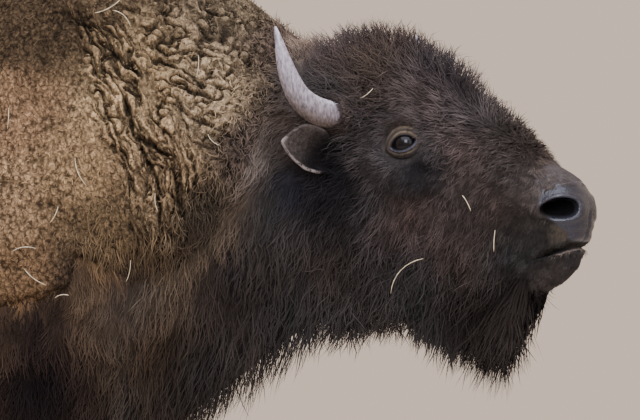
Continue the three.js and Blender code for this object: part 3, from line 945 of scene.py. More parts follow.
def finish_material(tree, inputs):
    """Ends the nodes of a material with a surface that takes the inputs."""
    surface = add_node(tree, "BsdfPrincipled", inputs)
    add_node(tree, "OutputMaterial", {"Surface": (surface, "BSDF")})


def finish_hide(tree, colour, bump, roughness, shine):
    """Ends them with the dull surface of hair, hide, horn or floor."""
    look = {"Base Color": colour, "Normal": (bump, "Normal"), "Roughness": roughness}
    finish_material(tree, {**look, "Specular IOR Level": shine})


@made_once
def hair_material():
    """Dry bison wool and hair, a dull fibre with a soft sheen where it is seen edge on."""
    material, tree = new_material("bison_hair")
    colour = add_node(tree, "Attribute", attribute_name="coat_colour")
    here = (add_node(tree, "TexCoord"), "Object")
    strands = add_node(tree, "TexNoise", {"Vector": here, "Scale": 1 / (3 * MM), "Detail": 2.0})
    tinted = dappled(tree, (colour, "Color"), strands, 0.8, 1.2)
    bump = add_node(tree, "Bump", relief_of((strands, "Fac"), 0.3, 1 * MM))
    finish_hide(tree, (tinted, "Vector"), bump, 0.85, 0.12)
    return material


@made_once
def felt_material():
    """Matted underwool, a felt of small nubs with dark cracks between them."""
    material, tree = new_material("matted_wool")
    colour = add_node(tree, "Attribute", attribute_name="coat_colour")
    felt = add_node(tree, "Attribute", attribute_name="felt")
    here = (add_node(tree, "TexCoord"), "Object")
    wander = add_node(tree, "TexNoise", {"Vector": here, "Scale": 1 / (11 * MM), "Detail": 2.0})
    warped = add_node(
        tree,
        "VectorMath",
        {0: (wander, "Color"), 1: (12 * MM, 12 * MM, 16 * MM), 2: here},
        operation="MULTIPLY_ADD",
    )
    upright = add_node(tree, "Mapping", {"Vector": (warped, "Vector"), "Scale": (1.0, 1.0, 0.7)})
    nubs = add_node(tree, "TexVoronoi", {"Vector": (upright, "Vector"), "Scale": 1 / (6 * MM)})
    patchy = add_node(tree, "TexNoise", {"Vector": here, "Scale": 1 / (10 * MM), "Detail": 3.0})
    outlined = add_node(
        tree, "Math", {0: (patchy, "Fac"), 1: 0.9, 2: (nubs, "Distance")}, operation="MULTIPLY_ADD"
    )
    # Painted light and shade: the nubs are painted lighter and the cracks between them darker, the deepest
    # cracks darker still. The mottle is the fibres' own colour.
    crack = add_node(tree, "MapRange", span((outlined, "Value"), 1.3, 0.7))
    felted_crack = add_node(
        tree, "Mix", {"Factor": (felt, "Fac"), "A": 1.0, "B": (crack, "Result")}, data_type="FLOAT"
    )
    darkness = add_node(tree, "MapRange", span((felted_crack, "Result"), 0, 1, 0.36, 1.14))
    deep_crack = add_node(tree, "MapRange", span((outlined, "Value"), 1.38, 1.2, 0.5))
    fibres = add_node(
        tree, "TexNoise", {"Vector": here, "Scale": 1 / (3 * MM), "Detail": 3.0, "Roughness": 0.7}
    )
    mottle = add_node(tree, "MapRange", span((fibres, "Fac"), 0.3, 0.7, 0.72, 1.25))
    cracked = add_node(
        tree, "Math", {0: (darkness, "Result"), 1: (deep_crack, "Result")}, operation="MULTIPLY"
    )
    shade = add_node(tree, "Math", {0: (cracked, "Value"), 1: (mottle, "Result")}, operation="MULTIPLY")
    tinted = add_node(
        tree, "VectorMath", {0: (colour, "Color"), 1: (shade, "Value")}, operation="MULTIPLY"
    )
    nub_bump = add_node(tree, "Bump", relief_of((felted_crack, "Result"), 1.0, 5 * MM))
    bump = add_node(tree, "Bump", relief_of((fibres, "Fac"), 0.7, 1.5 * MM, Normal=(nub_bump, "Normal")))
    finish_hide(tree, (tinted, "Vector"), bump, 0.9, 0.1)
    return material


@made_once
def skin_material():
    """Hide under short flat hair, bare and wet on the nose, with dark leathery lids."""
    material, tree = new_material("bison_hide")
    colour = add_node(tree, "Attribute", attribute_name="coat_colour")
    bareness = (add_node(tree, "Attribute", attribute_name="bare_skin"), "Fac")
    here = (add_node(tree, "TexCoord"), "Object")
    lie = add_node(tree, "Mapping", {"Vector": here, "Scale": (0.8, 1.0, 0.3)})
    hairs = add_node(
        tree,
        "TexNoise",
        {"Vector": (lie, "Vector"), "Scale": 1 / (4 * MM), "Detail": 3.0, "Roughness": 0.6},
    )
    pebbles = add_node(tree, "TexVoronoi", {"Vector": here, "Scale": 1 / (3.2 * MM)})
    tinted = dappled(tree, (colour, "Color"), hairs, 0.62, 1.3)
    coloured = add_node(
        tree, "Mix", {"Factor": bareness, 6: (tinted, "Vector"), 7: (colour, "Color")}, data_type="RGBA"
    )
    roughness = add_node(tree, "MapRange", span(bareness, 0, 1, 0.8, 0.2))
    shine = add_node(tree, "MapRange", span(bareness, 0, 1, 0.08, 0.6))
    hair_bump = add_node(tree, "Bump", relief_of((hairs, "Fac"), 0.5, 2 * MM))
    pebble_strength = add_node(tree, "Math", {0: bareness, 1: 0.36}, operation="MULTIPLY")
    pebbled = relief_of((pebbles, "Distance"), (pebble_strength, "Value"), -1.2 * MM)
    bump = add_node(tree, "Bump", {**pebbled, "Normal": (hair_bump, "Normal")})
    finish_hide(tree, (coloured, 2), bump, (roughness, "Result"), (shine, "Result"))
    return material


@made_once
def horn_material():
    """Weathered horn, finely grooved and mottled grey."""
    material, tree = new_material("weathered_horn")
    colour = add_node(tree, "Attribute", attribute_name="coat_colour")
    here = (add_node(tree, "TexCoord"), "Object")
    lengthwise = add_node(
        tree, "Mapping", {"Vector": here, "Rotation": (0.0, 0.35, 0.0), "Scale": (1.0, 0.35, 0.3)}
    )
    grooves = add_node(
        tree,
        "TexNoise",
        {"Vector": (lengthwise, "Vector"), "Scale": 1 / (3.2 * MM), "Detail": 4.0, "Roughness": 0.65},
    )
    tinted = dappled(tree, (colour, "Color"), grooves, 0.36, 1.4, 0.18)
    bump = add_node(tree, "Bump", relief_of((grooves, "Fac"), 0.6, 1.5 * MM))
    finish_hide(tree, (tinted, "Vector"), bump, 0.5, 0.4)
    return material


@made_once
def eye_material():
    """Dark brown eye with a long pupil under a clear wet surface."""
    material, tree = new_material("wet_dark_eye")
    colour = add_node(tree, "Attribute", attribute_name="eye_colour")
    finish_material(
        tree,
        {
            "Base Color": (colour, "Color"),
            "Roughness": 0.17,
            "IOR": 1.3,
            "Coat Weight": 0.2,
            "Coat Roughness": 0.1,
            "Coat IOR": 1.45,
        },
    )
    return material


def dappled_material(name, colour, grain, stretch=(1.0, 1.0, 1.0), contrast=0.3, relief=0.3 * MM):
    """A dull colour that a noise lightens and darkens, with the relief of the same noise."""
    material, tree = new_material(name)
    place = add_node(tree, "TexCoord")
    stretched = add_node(tree, "Mapping", {"Vector": (place, "Object"), "Scale": stretch})
    noise = add_node(
        tree, "TexNoise", {"Vector": (stretched, "Vector"), "Scale": 1 / grain, "Detail": 4.0}
    )
    tinted = dappled(tree, colour, noise, 1 - contrast, 1 + contrast)
    dull = add_node(tree, "MapRange", span((noise, "Fac"), 0, 1, 0.4, 0.8))
    bump = add_node(tree, "Bump", relief_of((noise, "Fac"), 0.6, relief))
    finish_hide(tree, (tinted, "Vector"), bump, (dull, "Result"), 0.5)
    return material


# ---- Stage ----

# Each light's place, size and share of the key light's power.
LIGHTS = {
    "sky_light": ((0.6, -1.6, 4.2), 4.0, 1.0),
    "front_light": ((3.6, -2.4, 2.6), 2.5, 0.25),
    "window": ((1.1, -3.7, 2.7), 1.5, 0.6),
}
LIT_PLACE = Vector((0.4, 0, 1.1))
# How far the picture's middle is ahead of her front feet and below her eye, in widths of the view.
PICTURE_AHEAD, PICTURE_BELOW = 270 / 640, 64 / 640


def make_stage(settings):
    """The floor, the light from all round, the lights and the camera."""
    scene = bpy.context.scene
    bpy.ops.object.select_all(action="DESELECT")
    bpy.ops.mesh.primitive_plane_add(size=26, location=(0, 0, 0))
    floor = bpy.context.object
    floor.name = "floor"
    material = dappled_material("pale_floor", settings.floor_colour, 90 * MM, contrast=0.05)
    floor.data.materials.append(material)
    world = bpy.data.worlds.new("pale_studio")
    world.use_nodes = True
    background = world.node_tree.nodes["Background"].inputs
    background["Color"].default_value = (*settings.wall_colour, 1)
    background["Strength"].default_value = settings.fill_light
    scene.world = world
    for name, (place, size, share) in LIGHTS.items():
        light = bpy.data.lights.new(name, "AREA")
        light.size = size
        light.energy = settings.key_light * share
        light.color = linear("#e4ebff")
        lamp = bpy.data.objects.new(name, light)
        lamp.location = place
        lamp.rotation_euler = (LIT_PLACE - Vector(place)).to_track_quat("-Z", "Y").to_euler()
        scene.collection.objects.link(lamp)
    camera = bpy.data.cameras.new("camera")
    camera.sensor_width = 36.0
    distance = settings.camera_distance
    camera.lens = camera.sensor_width * distance / settings.view_width
    azimuth = settings.camera_azimuth
    right = Vector((math.cos(azimuth), math.sin(azimuth), 0))
    middle = Vector(FLOOR_POINT) + right * (settings.view_width * PICTURE_AHEAD)
    middle.z = EYE[2] * MM - settings.view_width * PICTURE_BELOW
    view = bpy.data.objects.new("camera", camera)
    view.location = middle + Vector((math.sin(azimuth), -math.cos(azimuth), 0)) * distance
    view.rotation_euler = (math.pi / 2, 0, azimuth)
    scene.collection.objects.link(view)
    scene.camera = view


# ---- Hair ----

PATCH = 0.003  # how much of the OFBake map each tuft has
RIDGE = 0.38  # how high a tuft's ridge is next to its breadth


class Hide:
    """The triangles of a skin in the straight layout, on which hair is rooted."""

    def __init__(self, obj):
        obj.data.calc_loop_triangles()
        self.points = layout_of(obj)
        self.corners = numbers(obj.data.loop_triangles, "vertices", 3, np.int32)
        a, b, c = (self.points[self.corners[:, i]] for i in range(3))
        across = np.cross(b - a, c - a)
        self.areas = np.linalg.norm(across, axis=1) / 2
        self.middles = (a + b + c) / 3
        self.normals = np.zeros_like(self.points)
        for i in range(3):
            np.add.at(self.normals, self.corners[:, i], across)
        self.normals = unit(self.normals)

    def roots(self, tufts_per_mm2, random):
        """Places spread evenly over the skin, as thickly as asked, and the normals there."""
        share = np.cumsum(self.areas * tufts_per_mm2(self.middles))
        total = int(share[-1])
        picks = np.searchsorted(share, (np.arange(total) + random.random(total)) * share[-1] / total)
        picks = np.minimum(picks, len(share) - 1)
        a, b = random.random((2, total))
        over = a + b > 1
        a[over], b[over] = 1 - a[over], 1 - b[over]
        weights = np.stack([1 - a - b, a, b], 1)[:, :, None]
        corners = self.corners[picks]
        return (self.points[corners] * weights).sum(1), unit((self.normals[corners] * weights).sum(1))


class Coat:
    """Tufts of hair, gathered to become one mesh."""

    def __init__(self, name, seed, settings):
        self.name = name
        self.settings = settings
        self.random = np.random.default_rng(seed + settings.seed)
        self.points, self.normals, self.colours = [], [], []
        self.faces, self.sizes, self.patches = [], [], []
        self.count = 0

    def add(self, roots, normals, spots, segments, width, clump=24.0, gather=0.4, tint=None, sink=2.0,
            length_scale=1.0, messy=0.16, shades=(0.62, 0.94, 1.14), contrast=0.85, laid=None):
        """Grows a tuft at each root. spots are the roots' places on the OFBake map.

        Tufts gather towards the middles of clumps, shades are those of the root, the middle and
        the tip, and laid is the lie, length, lift and curl of tufts that follow no guide.
        """
        random, count = self.random, len(roots)
        if not count:
            return
        lie, length, lift, curl = guided(roots) if laid is None else laid
        curl = np.full(count, curl)[:, None]
        length = length * length_scale * random.uniform(0.7, 1.25, count)
        lift = lift * random.uniform(0.75, 1.3, count)
        middle, near, far = clumps(roots + drift_vector(roots, clump * 2) * clump * 0.3, clump, 5)
        inward = along_skin(middle - roots, normals)
        swirl = np.cross(normals, inward / clump) * np.sign(scattered(np.floor(middle), 3) - 0.5)[:, None]
        lie = unit(lie + random.normal(0, messy, (count, 3)) + swirl * curl * 1.6)
        raw, lie = lie, along_skin(lie, normals)
        flatness = np.linalg.norm(lie, axis=1)
        stray = along_skin(random.normal(0, 1, (count, 3)), normals)
        lie = unit(lie + unit(stray) * np.maximum(0.5 - flatness, 0)[:, None])
        sideways = unit(np.cross(normals, lie))
        hang = 1.6 * ramp(length, 38, 85)
        gap = 1 - ramp(far - near, 0.0, 0.35)
        length = length * (1.06 - 0.28 * gap)
        twist = random.uniform(0, 2 * np.pi, count)
        waves = random.uniform(0.8, 1.5, count)
        width = width * self.settings.tuft_width * random.uniform(0.75, 1.3, count)
        path = roots - normals * sink
        rings = []
        steps = np.linspace(0, 1, segments + 1)
        for k, t in enumerate(steps):
            if k:
                middle_t = (t + steps[k - 1]) / 2
                angle = np.minimum(lift * (1.4 - 0.85 * middle_t), np.radians(88))
                way = lie * np.cos(angle)[:, None] + normals * np.sin(angle)[:, None]
                way = unit(way + raw * (hang * middle_t)[:, None])
                path = path + way * ((length + sink) * (t - steps[k - 1]))[:, None]
            phase = 2 * np.pi * waves * t + twist
            bend = (curl + 0.15) * length[:, None] * 0.12
            wave = bend * (sideways * (np.sin(phase) - np.sin(twist))[:, None]
                           + normals * (0.6 * (np.cos(phase) - np.cos(twist)))[:, None])
            centre = path + wave + inward * (gather * t**1.4)
            if k == segments:
                rings.append(centre[:, None])
                continue
            breadth = (width * (0.72 + 0.5 * t) * (1 - t**2.2) ** 0.8)[:, None]
            ridge = normals * (RIDGE * breadth)
            ring = [centre - sideways * breadth / 2, centre + sideways * breadth / 2, centre + ridge]
            rings.append(np.stack(ring, 1))
        points = np.concatenate(rings, 1)
        per_tuft = points.shape[1]
        sides = [unit(normals - sideways * 0.3), unit(normals + sideways * 0.3), normals]
        facing = np.stack(sides * segments + [normals], 1)
        self.normals.append(swung(facing.reshape(-1, 3), points.reshape(-1, 3)[:, 0]))
        tone = coat_tone(roots) if tint is None else tint(roots)
        tone = tone * random.lognormal(0, 0.14 * contrast, (count, 1))
        # Painted shade: tufts are darker in the gaps between clumps.
        tone = tone * (1 - 0.5 * contrast * gap[:, None]) * (1 + 0.14 * drift(roots, 55, 8)[:, None])
        tone = tone * (1 + 0.28 * drift(roots, 15, 9)[:, None])
        # Painted shade at the root of each tuft, between the hairs. The lighter tips are the hair's own.
        ts = np.concatenate([np.repeat(steps[:-1], 3), [1.0]])
        shade = np.interp(ts, [0, 0.45, 1], shades)
        colours = tone[:, None, :] * shade[None, :, None]
        self.points.append(points.reshape(-1, 3))
        self.colours.append(colours.reshape(-1, 3))
        quads, triangles = tuft_faces(segments)
        starts = (self.count + np.arange(count) * per_tuft)[:, None, None]
        spots = np.asarray(spots)[:, None, None]
        quad_uv, triangle_uv = tuft_patches(segments)
        self.faces += [(starts + quads[None]).reshape(-1), (starts + triangles[None]).reshape(-1)]
        self.sizes += [np.full(count * len(quads), 4), np.full(count * len(triangles), 3)]
        self.patches += [(spots + quad_uv[None]).reshape(-1, 2), (spots + triangle_uv[None]).reshape(-1, 2)]
        self.count += count * per_tuft

    def grow(self, hide, density, tube, kinds, **stand):
        """Grows tufts all over a hide, of the kinds that the length of the hair asks for."""
        roots, normals = hide.roots(density, self.random)
        length, spots = guided(roots)[1], tube_map(roots, *tube) if tube else leg_map(roots)
        for low, high, segments, width in kinds:
            some = (length >= low) & (length < high)
            self.add(roots[some], normals[some], spots[some], segments, width, **stand)

    def build(self):
        """The tufts as one object, in the frame, with their colours and their OFBake map."""
        mesh = bpy.data.meshes.new(self.name)
        points = turned(np.concatenate(self.points))
        corners, sizes = np.concatenate(self.faces), np.concatenate(self.sizes)
        mesh.vertices.add(len(points))
        mesh.vertices.foreach_set("co", points.astype(np.float32).ravel())
        mesh.loops.add(len(corners))
        mesh.loops.foreach_set("vertex_index", corners.astype(np.int32))
        mesh.polygons.add(len(sizes))
        starts = np.concatenate([[0], np.cumsum(sizes)[:-1]])
        mesh.polygons.foreach_set("loop_start", starts.astype(np.int32))
        keep_map(mesh, np.concatenate(self.patches))
        mesh.update(calc_edges=True)
        mesh.materials.append(hair_material())
        mesh.polygons.foreach_set("use_smooth", np.ones(len(sizes), bool))
        mesh.normals_split_custom_set_from_vertices(np.concatenate(self.normals))
        obj = new_object(self.name, mesh)
        paint(obj, "coat_colour", np.clip(np.concatenate(self.colours), 0, 1))
        print(self.name, "triangles", int((sizes - 2).sum()))
        return obj


def along_skin(vectors, normals):
    """The part of each vector that runs along the skin."""
    return vectors - normals * (vectors * normals).sum(1, keepdims=True)


def tuft_faces(segments):
    """The corners of a tuft's quads and triangles. Its rings have three points, its tip one."""
    quads, triangles = [], [(0, 2, 1)]
    for low in range(0, 3 * segments - 3, 3):
        for i in range(3):
            j = (i + 1) % 3
            quads.append((low + i, low + j, low + 3 + j, low + 3 + i))
    last, tip = (segments - 1) * 3, segments * 3
    triangles += [(last + i, last + (i + 1) % 3, tip) for i in range(3)]
    return np.array(quads).reshape(-1, 4), np.array(triangles)


def tuft_patches(segments):
    """Where each of those faces lies in the tuft's patch. Each side has its own strip."""
    strip = PATCH / 3
    quads, triangles = [], [[(0, 0), (strip, 0), (strip / 2, strip / 2)]]
    for ring in range(segments - 1):
        low, high = ring / segments * PATCH, (ring + 1) / segments * PATCH
        for i in range(3):
            left, right = i * strip, (i + 1) * strip
            quads.append([(left, low), (right, low), (right, high), (left, high)])
    low = (segments - 1) / segments * PATCH
    for i in range(3):
        left, right = i * strip, (i + 1) * strip
        triangles.append([(left, low), (right, low), ((left + right) / 2, PATCH)])
    return np.array(quads).reshape(-1, 4, 2), np.array(triangles)


def drift_vector(points, size):
    return np.stack([drift(points, size, 40 + i) for i in range(3)], 1)


def in_parts(function, points, part=20000):
    """A function of many points, worked out for a part of them at a time."""
    pieces = [function(points[i : i + part]) for i in range(0, len(points), part)]
    if isinstance(pieces[0], tuple):
        return tuple(np.concatenate(values) for values in zip(*pieces))
    return np.concatenate(pieces)


def guided(points):
    """The lie, length, lift and curl of hair that follows the guides."""
    lie, length, lift, _, curl = in_parts(groomed, points)
    return lie, length, lift, curl


def marked_in_parts(points):
    return in_parts(marked, points)


# The tubes along x on which the coats are unwrapped: from x, to x, and the height of the axis.
HEAD_TUBE = (480, 950, 1170)
BEARD_TUBE = (620, 880, 1020)
MANE_TUBE = (-340, 530, 1000)
CAPE_TUBE = (-500, 480, 1100)
BODY_TUBE = (-1400, -140, 950)


def tube_map(points, start, end, height):
    """Places on an unwrap of the body as a tube along x round the given height."""
    angle = np.arctan2(np.abs(points[:, 1]), points[:, 2] - height) / np.pi
    along = (points[:, 0] - start) / (end - start)
    return np.clip(np.stack([along, angle], 1), 0, 1) * (1 - 2 * PATCH) + PATCH / 2


# The axes of the fore and hind legs, how far out they are, and how high the legs' hair goes.
FORELEG_X, HINDLEG_X, LEG_OUT, LEG_TOP = 10, -1180, 185, 750
HALFWAY_BACK = -600  # between the fore and the hind legs


def leg_map(points):
    """Places on an unwrap of the four legs as tubes, side by side."""
    x, y, z = points.T
    hind = x < HALFWAY_BACK
    angle = np.arctan2(np.abs(y) - LEG_OUT, x - np.where(hind, HINDLEG_X, FORELEG_X)) / (2 * np.pi) + 0.5
    row = (angle + hind + 2 * (y > 0)) / 4
    return np.clip(np.stack([z / LEG_TOP, row], 1), 0, 1) * (1 - 2 * PATCH) + PATCH / 2


# ---- Where each kind of hair grows ----

# The side-on outline of the matted wool of the cape and the neck: x and z in the straight layout.
CAPE_OUTLINE = [(-470, 1700), (-465, 1380), (-432, 1250), (-365, 1125), (-265, 1035), (-150, 988),
                (-32, 972), (30, 980), (74, 995), (92, 1050), (115, 1036), (185, 1006), (262, 1022),
                (335, 1075), (392, 1160), (425, 1280), (445, 1420), (445, 1700)]


def inside_cape(q):
    """How far inside the outline of the matted wool, negative outside it. Its edges are ragged."""
    ragged = ramp(-q[:, 0], 60, 260)
    tattered = ramp(-q[:, 0], -130, -90) * (1 - ragged)
    q = q + drift_vector(q, 90) * (32 * ragged)[:, None] + drift_vector(q, 19) * (9 * tattered)[:, None]
    outline = np.array(CAPE_OUTLINE, float)
    x, z = q[:, 0], q[:, 2]
    nearest = np.full(len(q), 1e9)
    inside = np.zeros(len(q), bool)
    for (x0, z0), (x1, z1) in zip(outline, np.roll(outline, -1, 0)):
        dx, dz = x1 - x0, z1 - z0
        t = np.clip(((x - x0) * dx + (z - z0) * dz) / (dx * dx + dz * dz), 0, 1)
        nearest = np.minimum(nearest, np.hypot(x - x0 - t * dx, z - z0 - t * dz))
        crosses = (z0 > z) != (z1 > z)
        if dz:
            inside ^= crosses & (x < x0 + (z - z0) / dz * dx)
    return np.where(inside, nearest, -nearest)


def bare(q):
    """1 on the bare skin of the nose."""
    x, _, z = q.T
    edge = np.interp(
        z,
        [1040, 1063, 1085, 1098, 1110, 1122, 1148, 1156, 1164, 1180],
        [919, 916, 910, 896, 884, 871, 871, 890, 918, 945],
    )
    return ramp(x, edge - 4, edge + 5) * ramp(z, 1046, 1058)


def in_opening(q):
    ahead, up, out = eye_plan(q)
    return (np.hypot(ahead / 35, up / np.where(up > 0, 27, 21)) < 1) & (out > -20)


def head_density(q):
    """The hair of the head, finest round the eye and on the muzzle."""
    x, _, z = q.T
    length = guided(q)[1]
    gap = 3.4 + 0.038 * np.clip(length, 5, 70)
    eyeward = hump_at(np.linalg.norm(np.abs(q) - EYE, axis=1), 90)
    fine = 1 - 0.35 * np.maximum(eyeward, ramp(x, 800, 860))
    thick = 1 / (gap * fine) ** 2
    thick = thick * (1 + 0.5 * (1 - ramp(z, 960, 1080)))
    thick = thick * (bare(q) < 0.5) * ~in_opening(q) * (nostril_reach(q) > 1.25)
    return np.where(is_head(q, 905), thick, 0)


def on_side(density, name, settings):
    """The same density on one side of the body only, thinner on her left."""
    side = SIDES[name]
    share = settings.thickness * (1.0 if side < 0 else settings.far_side)
    return lambda q: np.where(q[:, 1] * side >= 0, density(q) * share, 0)


# Lengths of hair in millimetres, from and up to, with the segments and the width of their tufts.
HEAD_TUFTS = ((0, 16, 2, 1.3), (16, 36, 2, 1.6), (36, 54, 3, 1.6), (54, 300, 4, 2.0))
SOFT_TUFTS = ((0, 44, 2, 1.7), (44, 300, 3, 2.2))
LEG_TUFTS = ((0, 22, 2, 3.4), (22, 200, 4, 4.6))
BODY_TUFTS = ((0, 300, 2, 5.2),)


def is_crown(q):
    """True over the line from the horns to the nose, false on the cheeks."""
    return q[:, 2] > 1160 + 0.25 * (q[:, 0] - 600)


# The two parts of the head's coat: their seed, how thickly they grow and how their tufts stand.
HEAD_COATS = {
    "crown": (11, 2.15, {"clump": 20, "gather": 0.24, "messy": 0.32, "contrast": 1.0}),
    "cheek": (15, 1.85, {"clump": 22, "gather": 0.3, "messy": 0.28, "contrast": 1.1}),
}


def grow_head(hide, settings, part, name):
    """The crown from the horns to the nose, or the cheek below it, of one side."""
    seed, thickness, stand = HEAD_COATS[part]
    coat = Coat(f"{part}_hair_{name}", seed + SIDES[name], settings)
    within = is_crown if part == "crown" else lambda q: ~is_crown(q)
    density = on_side(lambda q: head_density(q) * within(q) * thickness, name, settings)
    coat.grow(hide, density, HEAD_TUBE, HEAD_TUFTS, **stand)
    return coat.build()


def grow_beard(hide, settings):
    """Long hair that hangs from the lower jaw and points forward at its end."""
    coat = Coat("beard_hair", 23, settings)

    def density(q):
        x, y, z = q.T
        under = (z < np.interp(x, [640, 760, 852], [985, 996, 1020])) * (x > 640) * (x < 842)
        thick = np.interp(x, [640, 740, 780], [0.8, 1.6, 2.6]) * settings.thickness / 2.5**2
        return under * (np.abs(y) < 74) * thick

    roots, normals = hide.roots(density, coat.random)
    reach = np.interp(roots[:, 0], [640, 700, 740, 785, 825, 852], [0.46, 0.67, 0.9, 1.0, 0.74, 0.36])
    reach *= settings.beard / MM
    back = -0.12 - 0.5 * ramp(roots[:, 0], 770, 830)
    swept = unit(np.stack([back, -0.2 * np.sign(roots[:, 1]), -np.ones(len(roots))], 1))
    laid = swept, reach, math.radians(55), guided(roots)[3]
    coat.add(roots, normals, tube_map(roots, *BEARD_TUBE), 5, 2.6, clump=30, gather=0.5, laid=laid)
    return coat.build()


def mane_tone(q):
    """The mane's colour. Under the cape's lower edge it is that of the dark hair below."""
    x, _, z = q.T
    under = ramp(inside_cape(q), -80, -10) * (1 - ramp(x, 50, 110)) * (z < 1100)
    return coat_tone(q - np.outer(under, (0, 0, 70)))


def soft_density(q):
    """Long soft hair of the lower neck, the shoulder, the brisket and the chest."""
    x, _, z = q.T
    inside = inside_cape(q)
    length = guided(q)[1]
    gap = 3.2 + 0.055 * np.clip(length, 10, 90)
    region = (x < 520) & (x > -330) & (z > 470) & (inside < 8)
    region &= (z < 1160) | (x > 330)
    thick = 1 + 1.6 * hump_at(np.hypot(x - 110, z - 1000) / 75, 1)
    return np.where(region & ~is_head(q, 905), thick / gap**2, 0)


def grow_mane(hide, settings, name):
    coat = Coat(f"mane_{name}", 31 + SIDES[name], settings)
    coat.grow(hide, on_side(soft_density, name, settings), MANE_TUBE, SOFT_TUFTS,
              clump=38, gather=0.4, shades=(0.74, 0.96, 1.08), contrast=0.6, tint=mane_tone)
    return coat.build()


def painted_hide(q, settings):
    """The skin's colour: the undercoat, the lids and the wet nose."""
    x, _, z = q.T
    ahead, up, out = eye_plan(q)
    off = (lid_reach(ahead, up) - 1) * 16
    near = (out > -12) * 1.0
    upper = np.maximum(0.9 * hump_at(off - 5.0, 2.6), hump_at(off - 11.5, 3.0))
    folds = np.where(up > 0, upper, 0.6 * hump_at(off - 8.5, 2.0))
    folds = folds * (0.35 + 0.65 * ramp(ahead, -22, -6))
    pad = bare(q)
    lip = hump_at(z - mouth_height(x) + 8, 6) * ramp(x, 872, 896)
    layers = {
        "lids": ("#3a3532", 0.85 * ((1 - ramp(off, 14, 26)) * near)),
        "folds of the lids": (settings.lid_colour, 0.8 * folds * near),
        "edge of the lids": ("#121011", (1 - ramp(off, 0.8, 2.0)) * near),
        # Painted sheen: a blue-grey reflection on the wet lower lid.
        "painted wet sheen": ("#5a5c6a", 0.8 * (hump_at(off - 3.4, 2.2) * (up < 0) * near)),
        "nose": (settings.nose_colour, pad),
        "pale fringe": ("#8f8a90", 0.7 * (hump_at(pad - 0.25, 0.35) * ramp(z, 1132, 1150) * (x > 860))),
        "lower lip": ("#85796f", 0.75 * lip),
        "tan lip": ("#4d453b", 0.8 * (hump_at(np.hypot(x - 900, (z - 1080) * 0.9) / 24, 1) * (1 - pad))),
        # Painted shade: the hollows of the nostrils are painted nearly black.
        "nostrils": ("#0c0a0b", 1 - ramp(nostril_reach(q), 0.75, 1.05)),
    }
    # Painted shade under the hair: the skin is darker than the coat.
    colour = coat_tone(q) * np.where(is_head(q), 0.55, settings.skin_shade)[:, None]
    for over, share in layers.values():
        colour = mixed(colour, over, share)
    return colour


def make_mat(skin, name, settings):
    """The matted wool of one side: a copy of the skin there, raised, cracked and rolled."""
    side = SIDES[name]
    mat = new_object(f"cape_mat_{name}", skin.data.copy())
    form = bmesh.new()
    form.from_mesh(mat.data)
    middles = straightened(np.array([face.calc_center_median() for face in form.faces]))
    keep = (inside_cape(middles) > -24) & (middles[:, 1] * side > -6)
    gone = [face for face, kept in zip(form.faces, keep) if not kept]
    bmesh.ops.delete(form, geom=gone, context="FACES")
    bmesh.ops.subdivide_edges(form, edges=form.edges, cuts=2 if side < 0 else 1, use_grid_fill=True)
    form.to_mesh(mat.data)
    form.free()
    apply_modifier(mat, "SMOOTH", factor=0.5, iterations=4)
    split_faces(mat, lambda q: np.maximum(wrinkled(q), curled(q)) > 0.2)
    q = layout_of(mat)
    x, _, z = q.T
    normals = Hide(mat).normals
    inside = inside_cape(q)
    roll = np.interp(x, [-260, -60], [60, 22])
    rolled = np.sqrt(np.clip(1 - (1 - np.clip(inside / roll, 0, 1)) ** 2, 0, 1))
    soft = np.maximum(ramp(x + 1.5 * np.clip(z - 1062, 0, 60), 60, 200), ramp(-x, 60, 240))
    cover = rolled * (1 - soft) + ramp(inside, -8, 70) * soft
    depth = in_parts(lambda p: groomed(p)[3], q)
    height, shade, felt = in_parts(lambda p: mat_relief(p, settings), q)
    rise = np.maximum(depth - 3 + height, 4) * cover - 7 * (1 - ramp(inside, -12, 2))
    q = q + normals * rise[:, None]
    move_to(mat, turned(q))
    # The felt's colour with painted shade in its cracks, folds, pockets and creases.
    colour = marked_in_parts(q) * FELT_DEPTH * shade[:, None]
    for old in list(mat.data.color_attributes):
        mat.data.color_attributes.remove(old)
    paint(mat, "coat_colour", np.clip(colour, 0, 1))
    keep_value(mat, "felt", felt)
    corners = numbers(mat.data.loops, "vertex_index", 1, np.int32)
    keep_map(mat.data, tube_map(q, *CAPE_TUBE)[corners])
    print(mat.name, "quads", len(mat.data.polygons))
    give_material(mat, felt_material())
    return mat


def along_fold(q):
    """How far forward of the deepest fold between cape and neck."""
    return q[:, 0] - np.interp(q[:, 2], [1000, 1060, 1173, 1360, 1450], [252, 250, 240, 125, 70])


def wrinkled(q):
    """1 where the wool lies in long folds between cape and neck."""
    z = q[:, 2]
    across = along_fold(q) - 6 + 14 * drift(q, 60, 71)
    width = np.interp(z, [1035, 1116, 1214, 1311, 1392], [72, 92, 102, 72, 46])
    band = 1 - ramp(np.abs(across) / width, 0.75, 1.15)
    return band * ramp(z, 985, 1040) * (1 - ramp(z, 1400, 1460))


def curled(q):
    """1 where the wool of the neck is in thick rounded curls."""
    x, _, z = q.T
    start = np.interp(z, [1173, 1214, 1311], [104, 88, 52])
    behind = ramp(along_fold(q) - start + 14 * drift(q, 45, 72), -20, 25) * ramp(z, 1130, 1185)
    return behind * (1 - ramp(x, 425, 460)) * (1 - ramp(z, 1420, 1490))


# The deepest creases of the neck: from x and z to x and z.
CREASES = [(112, 1382, 186, 1328), (163, 1291, 183, 1235), (190, 1230, 258, 1200), (200, 1213, 246, 1142),
           (280, 1304, 322, 1291), (306, 1254, 336, 1249), (236, 1142, 250, 1070), (262, 1180, 285, 1110)]


